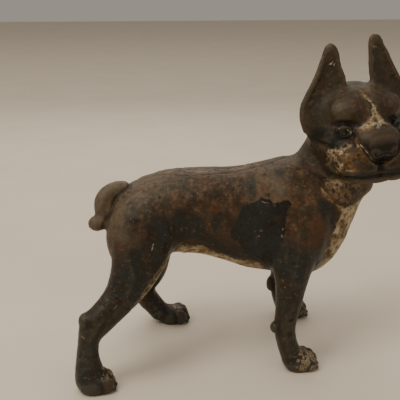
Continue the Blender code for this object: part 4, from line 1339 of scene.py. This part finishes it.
# The nose's brown top, painted light where it faces up
NOSE_TOP = (0.050, 0.034, 0.020)
CREAM = (0.430, 0.345, 0.220)
IVORY = (0.640, 0.560, 0.420)
OCHRE = (0.170, 0.098, 0.036)
TAN = (0.034, 0.015, 0.005)
BUFF = (0.160, 0.074, 0.018)
BARE = (0.170, 0.135, 0.095)
SOOT = (0.007, 0.005, 0.004)
OLD_STEEL = (0.085, 0.076, 0.070)
BRIGHT_STEEL = (0.200, 0.180, 0.160)
STEEL_RUST = (0.110, 0.050, 0.022)
FLOOR_DARK = (0.70, 0.62, 0.51)
FLOOR_LIGHT = (0.74, 0.66, 0.55)


class WornPainter(Painter):
    """A painter with the grains that all the paints share, from broad clouds to grit."""

    def __init__(self, name, shift):
        super().__init__(name)
        self.broad = self.noise(26, 2, shift=shift)
        self.middle = self.noise(7.5, 3, shift=shift + 1)
        self.small = self.noise(3.2, 3, 0.6, shift + 2)
        self.fine = self.noise(1.5, 3, 0.6, shift + 3)
        self.grit = self.noise(0.8, 2, 0.6, shift + 4)
        self.tint = self.noise(5.5, 3, 0.6, shift + 5)
        self.brushed = self.noise(4, 2, shift=shift + 6)
        self.cloud = self.middle * 0.55 + self.small * 0.45
        self.ragged = self.middle * 2.0 + self.small * 1.6
        self.flecks = self.small * 0.6 + self.fine * 0.8
        proud = self.field("proud") + self.fine * 0.05
        self.edge = self.between(proud, 0.10, 0.45)
        # Hollows, where dirt and painted shade darken the paint
        self.hollow = self.between(proud * -1, 0.08, 0.55)
        reddish = self.field("rust") * 0.75 + (self.fine * 0.30 - self.tint * 1.1)
        self.rusty = self.between(reddish, 0.35, 1.30)
        self.specks = self.between(self.grit + self.cloud * 0.5, 0.50, 1.00)
        # Dirt, and on the thigh streaks painted shade, that dulls the cream
        self.grime = self.field("grime") * self.between(self.flecks + self.middle, -0.9, 0.5)


def weathered_brown(p):
    """Brown paint with its stains, rubbed places and specks of rust, and the strip along the back, with tops
    paler from dust and painted light from above, and painted highlights on the rump, the shoulder, the tail
    and the upper edge of the back's step.
    """
    # Scuffs and dust, paler on faces that look up, partly painted light from above
    scuffed = p.between(p.flecks + p.field("upward") * 0.45, 0.20, 0.95)
    stained = p.between(p.cloud * 0.5 - p.flecks, 0.20, 0.85)
    return p.coats(
        p.mix(p.between(p.cloud, -0.50, 0.55), UMBER, CHOCOLATE),
        (p.between(p.broad + p.tint, -0.1, 0.9) * 0.60, OLIVE),
        (p.field("crest") * 0.68, OLIVE),
        (p.rusty * 0.72, RUST),
        (p.field("brow") * 0.65, GLAZE),
        # Painted highlights on the rump's top, the shoulder and the tail
        (p.field("tail") * 0.44, TAUPE),
        (scuffed * p.blend(p.field("crest"), 0.40, 0.22), TAUPE),
        (stained * 0.60, DARK_BROWN),
        (p.specks * 0.52, ORANGE),
        (p.field("strip") * 0.85, p.mix(p.between(p.cloud + p.flecks, -0.4, 0.5), DARK_BROWN, TAUPE)),
        # A painted highlight along the upper edge of the back's step
        (p.field("brink") * 0.55, TAUPE),
    )


def dull_black(p):
    """Dark paint that has lost its gloss, worn to brown and rubbed to grey in places, with bluish grey
    patches that are partly painted sheen.
    """
    return p.coats(
        p.mix(p.between(p.broad + p.small, -0.6, 0.7), SLATE, DARK_BROWN),
        (p.between(p.cloud * 0.4 + p.flecks, 0.25, 0.9) * 0.36, CHOCOLATE),
        (p.between(p.grit + p.fine - p.small * 0.5, 0.75, 1.25) * 0.24, TAUPE),
        # Painted shade darkens the cheeks and ear hollows further, and the dark paint of the crown is darker
        # too
        (p.field("matt") * 0.90, OLIVE_BLACK),
    )


def glossy_black(p):
    """Black paint that has kept its gloss, with bluish grey patches that are partly painted sheen, and bare
    scratches.
    """
    return p.coats(
        p.mix(p.between(p.broad + p.cloud * 0.5, -0.3, 0.3), SLATE, BLACK),
        (p.between(p.tint + p.small, 0.2, 1.2) * 0.7, DARK_BROWN),
        (p.between(p.flecks * 0.8 + p.grit, 0.85, 1.4) * 0.70, BARE),
    )


def aged_cream(p):
    """Cream gone ochre, ivory where it is thick, tan on the lips, and dirty and darkened with painted shade
    in the hollows.
    """
    tan = p.mix(p.between(p.fine * 0.7 + p.flecks, -0.7, 0.5), BUFF, TAN)
    lip = p.between(p.field("lip") + p.flecks * 0.55, 0.05, 0.65)
    return p.coats(
        p.mix(p.between(p.cloud + p.flecks, -0.8, 0.9), CREAM, OCHRE),
        (p.between(p.flecks * -1 + p.grit * 0.5, 0.45, 1.2) * 0.6, IVORY),
        (p.between(p.field("paws"), -1.0, 3.0) * 0.6, CREAM),
        (lip * 0.95, p.mix(p.specks * 0.6, tan, ORANGE)),
        (p.grime * 0.5, TAN),
        (p.hollow * 0.7, UMBER),
    )


def pale_share(p):
    """How much of the cream is left, on its own places and on the toes."""
    flaked = p.middle * 1.3 + p.flecks * 2.2
    lost = p.between(p.middle * 0.6 + p.flecks, 0.20, 1.00)
    cream = p.between(p.field("cream") + flaked, -0.2, 1.4) * p.blend(lost, 1.0, 0.12)
    toes = p.between(p.field("paws") + flaked * 1.2, 0.0, 4.5)
    toes = toes * p.between(p.flecks * 1.2 + p.grit * 0.4, -0.10, 0.45)
    return p.math("MAXIMUM", cream * p.blend(p.grime, 1.0, 0.45), toes * 0.85)


def worn_paint(name, shift):
    """Old dark paint over rust: brown where it weathered, glossy black and cream where it has lasted."""
    p = WornPainter(name, shift)
    dark = p.between(p.field("dark") + p.cloud * 0.38 + p.fine * 0.10, 0.15, 0.95)
    glossy = p.between(p.field("black") + p.ragged, -0.3, 0.9)
    pale = pale_share(p)
    matt, balls = p.field("matt"), p.field("balls")
    nose = p.between(p.field("nose") + p.ragged * 0.25, -0.5, 0.8)
    scuffs = p.between(p.field("scuffs") + p.flecks * 0.8, -0.2, 0.9)
    chips = p.between(p.field("chips") + p.fine * 0.45, -0.10, 0.45)
    colour = p.coats(
        weathered_brown(p),
        (dark * 0.96, dull_black(p)),
        (glossy * 0.95, glossy_black(p)),
        (p.between(p.fine + p.grit * 0.8, 0.70, 1.20) * 0.26, BARE),
        (p.between(p.fine * -1 - p.grit * 0.8, 0.70, 1.20) * 0.50, SOOT),
        # The nose: painted light and shade, brown on top where it faces up and black underneath
        (nose, p.mix(p.between(p.field("upward"), -0.2, 0.6), SOOT, NOSE_TOP)),
        (pale, aged_cream(p)),
        (p.edge * 0.22, BARE),
        # Dirt and painted shade in the hollows
        (p.hollow * 0.60, SOOT),
        # Rubbed lines and painted highlights on the face and ears
        (scuffs * 0.26, BARE),
        (balls * 0.6, SOOT),
        # Chips down to primer, and painted glints
        (chips, p.mix(p.between(p.flecks, -0.6, 0.5), IVORY, OCHRE)),
    )
    rough = p.blend(p.between(p.middle, -1.0, 1.0), 0.40, 0.54) + p.rusty * 0.12
    for share, value in ((dark, 0.37), (glossy, 0.26), (matt, 0.52), (balls, 0.22), (pale, 0.60)):
        rough = p.blend(share, rough, value)
    rough = rough + p.flecks * 0.07 + p.between(p.field("upward"), 0.3, 1.0) * 0.10
    grain = p.fine * 0.5 + p.grit * 0.35 + p.small * 0.5
    grain = grain * p.blend(p.field("crest"), 1.0, 0.75) * p.blend(dark, 1.0, 0.70)
    normal = p.bump(grain, 0.35, 0.60)
    normal = p.bump(pale * 0.6 + glossy * 0.35, 0.25, 0.6, normal)
    normal = p.bump(glossy * p.brushed, 0.50, 0.7, normal)
    surface = {"Base Color": colour, "Roughness": rough, "Normal": normal}
    return p.finish({**surface, "Metallic": 0.0, "Specular IOR Level": 0.23})


def old_steel(name, shift):
    """Browned steel with brighter worn flecks and patches of rust, both spread by noise."""
    p = Painter(name)
    middle = p.noise(3.0, 4.0, shift=shift)
    fine = p.noise(0.8, 4.0, 0.6, shift + 1)
    rusty = p.between(middle + fine * 0.6, -0.1, 1.0)
    colour = p.mix(p.between(fine, 0.6, 1.3), p.mix(rusty, OLD_STEEL, STEEL_RUST), BRIGHT_STEEL)
    metal = {"Roughness": p.blend(rusty, 0.40, 0.68), "Metallic": p.blend(rusty, 0.90, 0.30)}
    return p.finish({"Base Color": colour, **metal, "Normal": p.bump(fine, 0.08, 0.5)})


def place_piece(made, material, node):
    """Sets a finished piece down in the row's frame, gives it its material, hangs it under the root and hides
    the CAD part that it replaces.
    """
    made.data.transform(Matrix.Translation(STAND))
    made.data.name = made.name
    made.data.materials.clear()
    made.data.materials.append(material)
    made.data.shade_smooth()
    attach(made, "root")
    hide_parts(node)


def stage_floor():
    """A plain pale floor with its own faint unevenness."""
    bm = bmesh.new()
    bmesh.ops.create_grid(bm, x_segments=2, y_segments=2, size=6.0)
    made = built("studio_floor", bm)
    p = Painter("pale_floor")
    colour = p.mix(p.between(p.noise(60, 3.0), -1, 1), FLOOR_DARK, FLOOR_LIGHT)
    rough = p.blend(p.between(p.noise(9, 3.0), -1, 1), 0.62, 0.72)
    made.data.materials.append(p.finish({"Base Color": colour, "Roughness": rough}))


# Where the camera stands, how it looks down and aside, and its lens on a 36 mm wide sensor
CAMERA_PLACE = (-0.1041, -0.5225, 0.2910)
CAMERA_PITCH = math.radians(17)
CAMERA_TURN = math.radians(8)
CAMERA_LENS = 62.55


def set_camera():
    """The camera at the photograph's viewing angle."""
    data = bpy.data.cameras.new("camera")
    data.lens = CAMERA_LENS
    data.sensor_width = 36.0
    data.clip_start = 0.01
    made = new_object("camera", data)
    made.location = CAMERA_PLACE
    made.rotation_euler = (math.pi / 2 - CAMERA_PITCH, 0, -CAMERA_TURN)
    bpy.context.scene.camera = made


# Studio lights: place, target, width and height, watts, colour
LIGHTS = {
    "window": ((-0.66, -0.40, 1.10), (0.0, 0.0, 0.12), (0.50, 0.80), 7.5, (1.0, 0.94, 0.84)),
    "overhead": ((-0.30, 0.60, 2.40), (0.0, 0.3, 0.00), (3.20, 3.20), 30.0, (1.0, 0.92, 0.80)),
    "fill": ((0.80, -0.90, 0.45), (0.0, 0.0, 0.12), (0.80, 0.80), 1.2, (1.0, 0.90, 0.78)),
    "rim": ((0.10, 0.95, 0.70), (0.0, 0.0, 0.12), (1.20, 0.50), 3.0, (1.0, 0.93, 0.84)),
}
SKY = (0.92, 0.84, 0.72)
SKY_STRENGTH = 0.36


def set_lights():
    """Soft lights round the doorstop, and a pale surround."""
    for name, (place, target, size, watts, colour) in LIGHTS.items():
        data = bpy.data.lights.new(name, "AREA")
        data.shape = "RECTANGLE"
        data.size, data.size_y = size
        data.energy = watts
        data.color = colour
        made = new_object(name, data)
        made.location = place
        made.rotation_euler = (Vector(target) - Vector(place)).to_track_quat("-Z", "Y").to_euler()
    world = bpy.data.worlds.new("surround")
    bpy.context.scene.world = world
    world.use_nodes = True
    background = world.node_tree.nodes["Background"]
    background.inputs["Color"].default_value = (*SKY, 1.0)
    background.inputs["Strength"].default_value = SKY_STRENGTH


def build():
    """Models, paints and places the four pieces."""
    form = sculpt_terrier()
    combine(form, foundry_core(), "DIFFERENCE")
    seats = [screw_seat(node) for node in ("front_screw", "rear_screw")]
    right = casting("right_half", form, -1, seats)
    left = casting("left_half", form, 1, seats)
    bpy.data.objects.remove(form)
    for half in (right, left):
        paint_fields(half.data)
    front = screw("front_clamping_screw", FRONT_SCREW, seats[0], math.radians(25))
    rear = screw("rear_clamping_screw", REAR_SCREW, seats[1], math.radians(-40))
    place_piece(right, worn_paint("right_half_worn_paint", 0.0), "right_half_casting")
    place_piece(left, worn_paint("left_half_worn_paint", 0.37), "left_half_casting")
    place_piece(front, old_steel("front_screw_steel", 0.0), "front_screw")
    place_piece(rear, old_steel("rear_screw_steel", 0.21), "rear_screw")


build()
stage_floor()
set_camera()
set_lights()
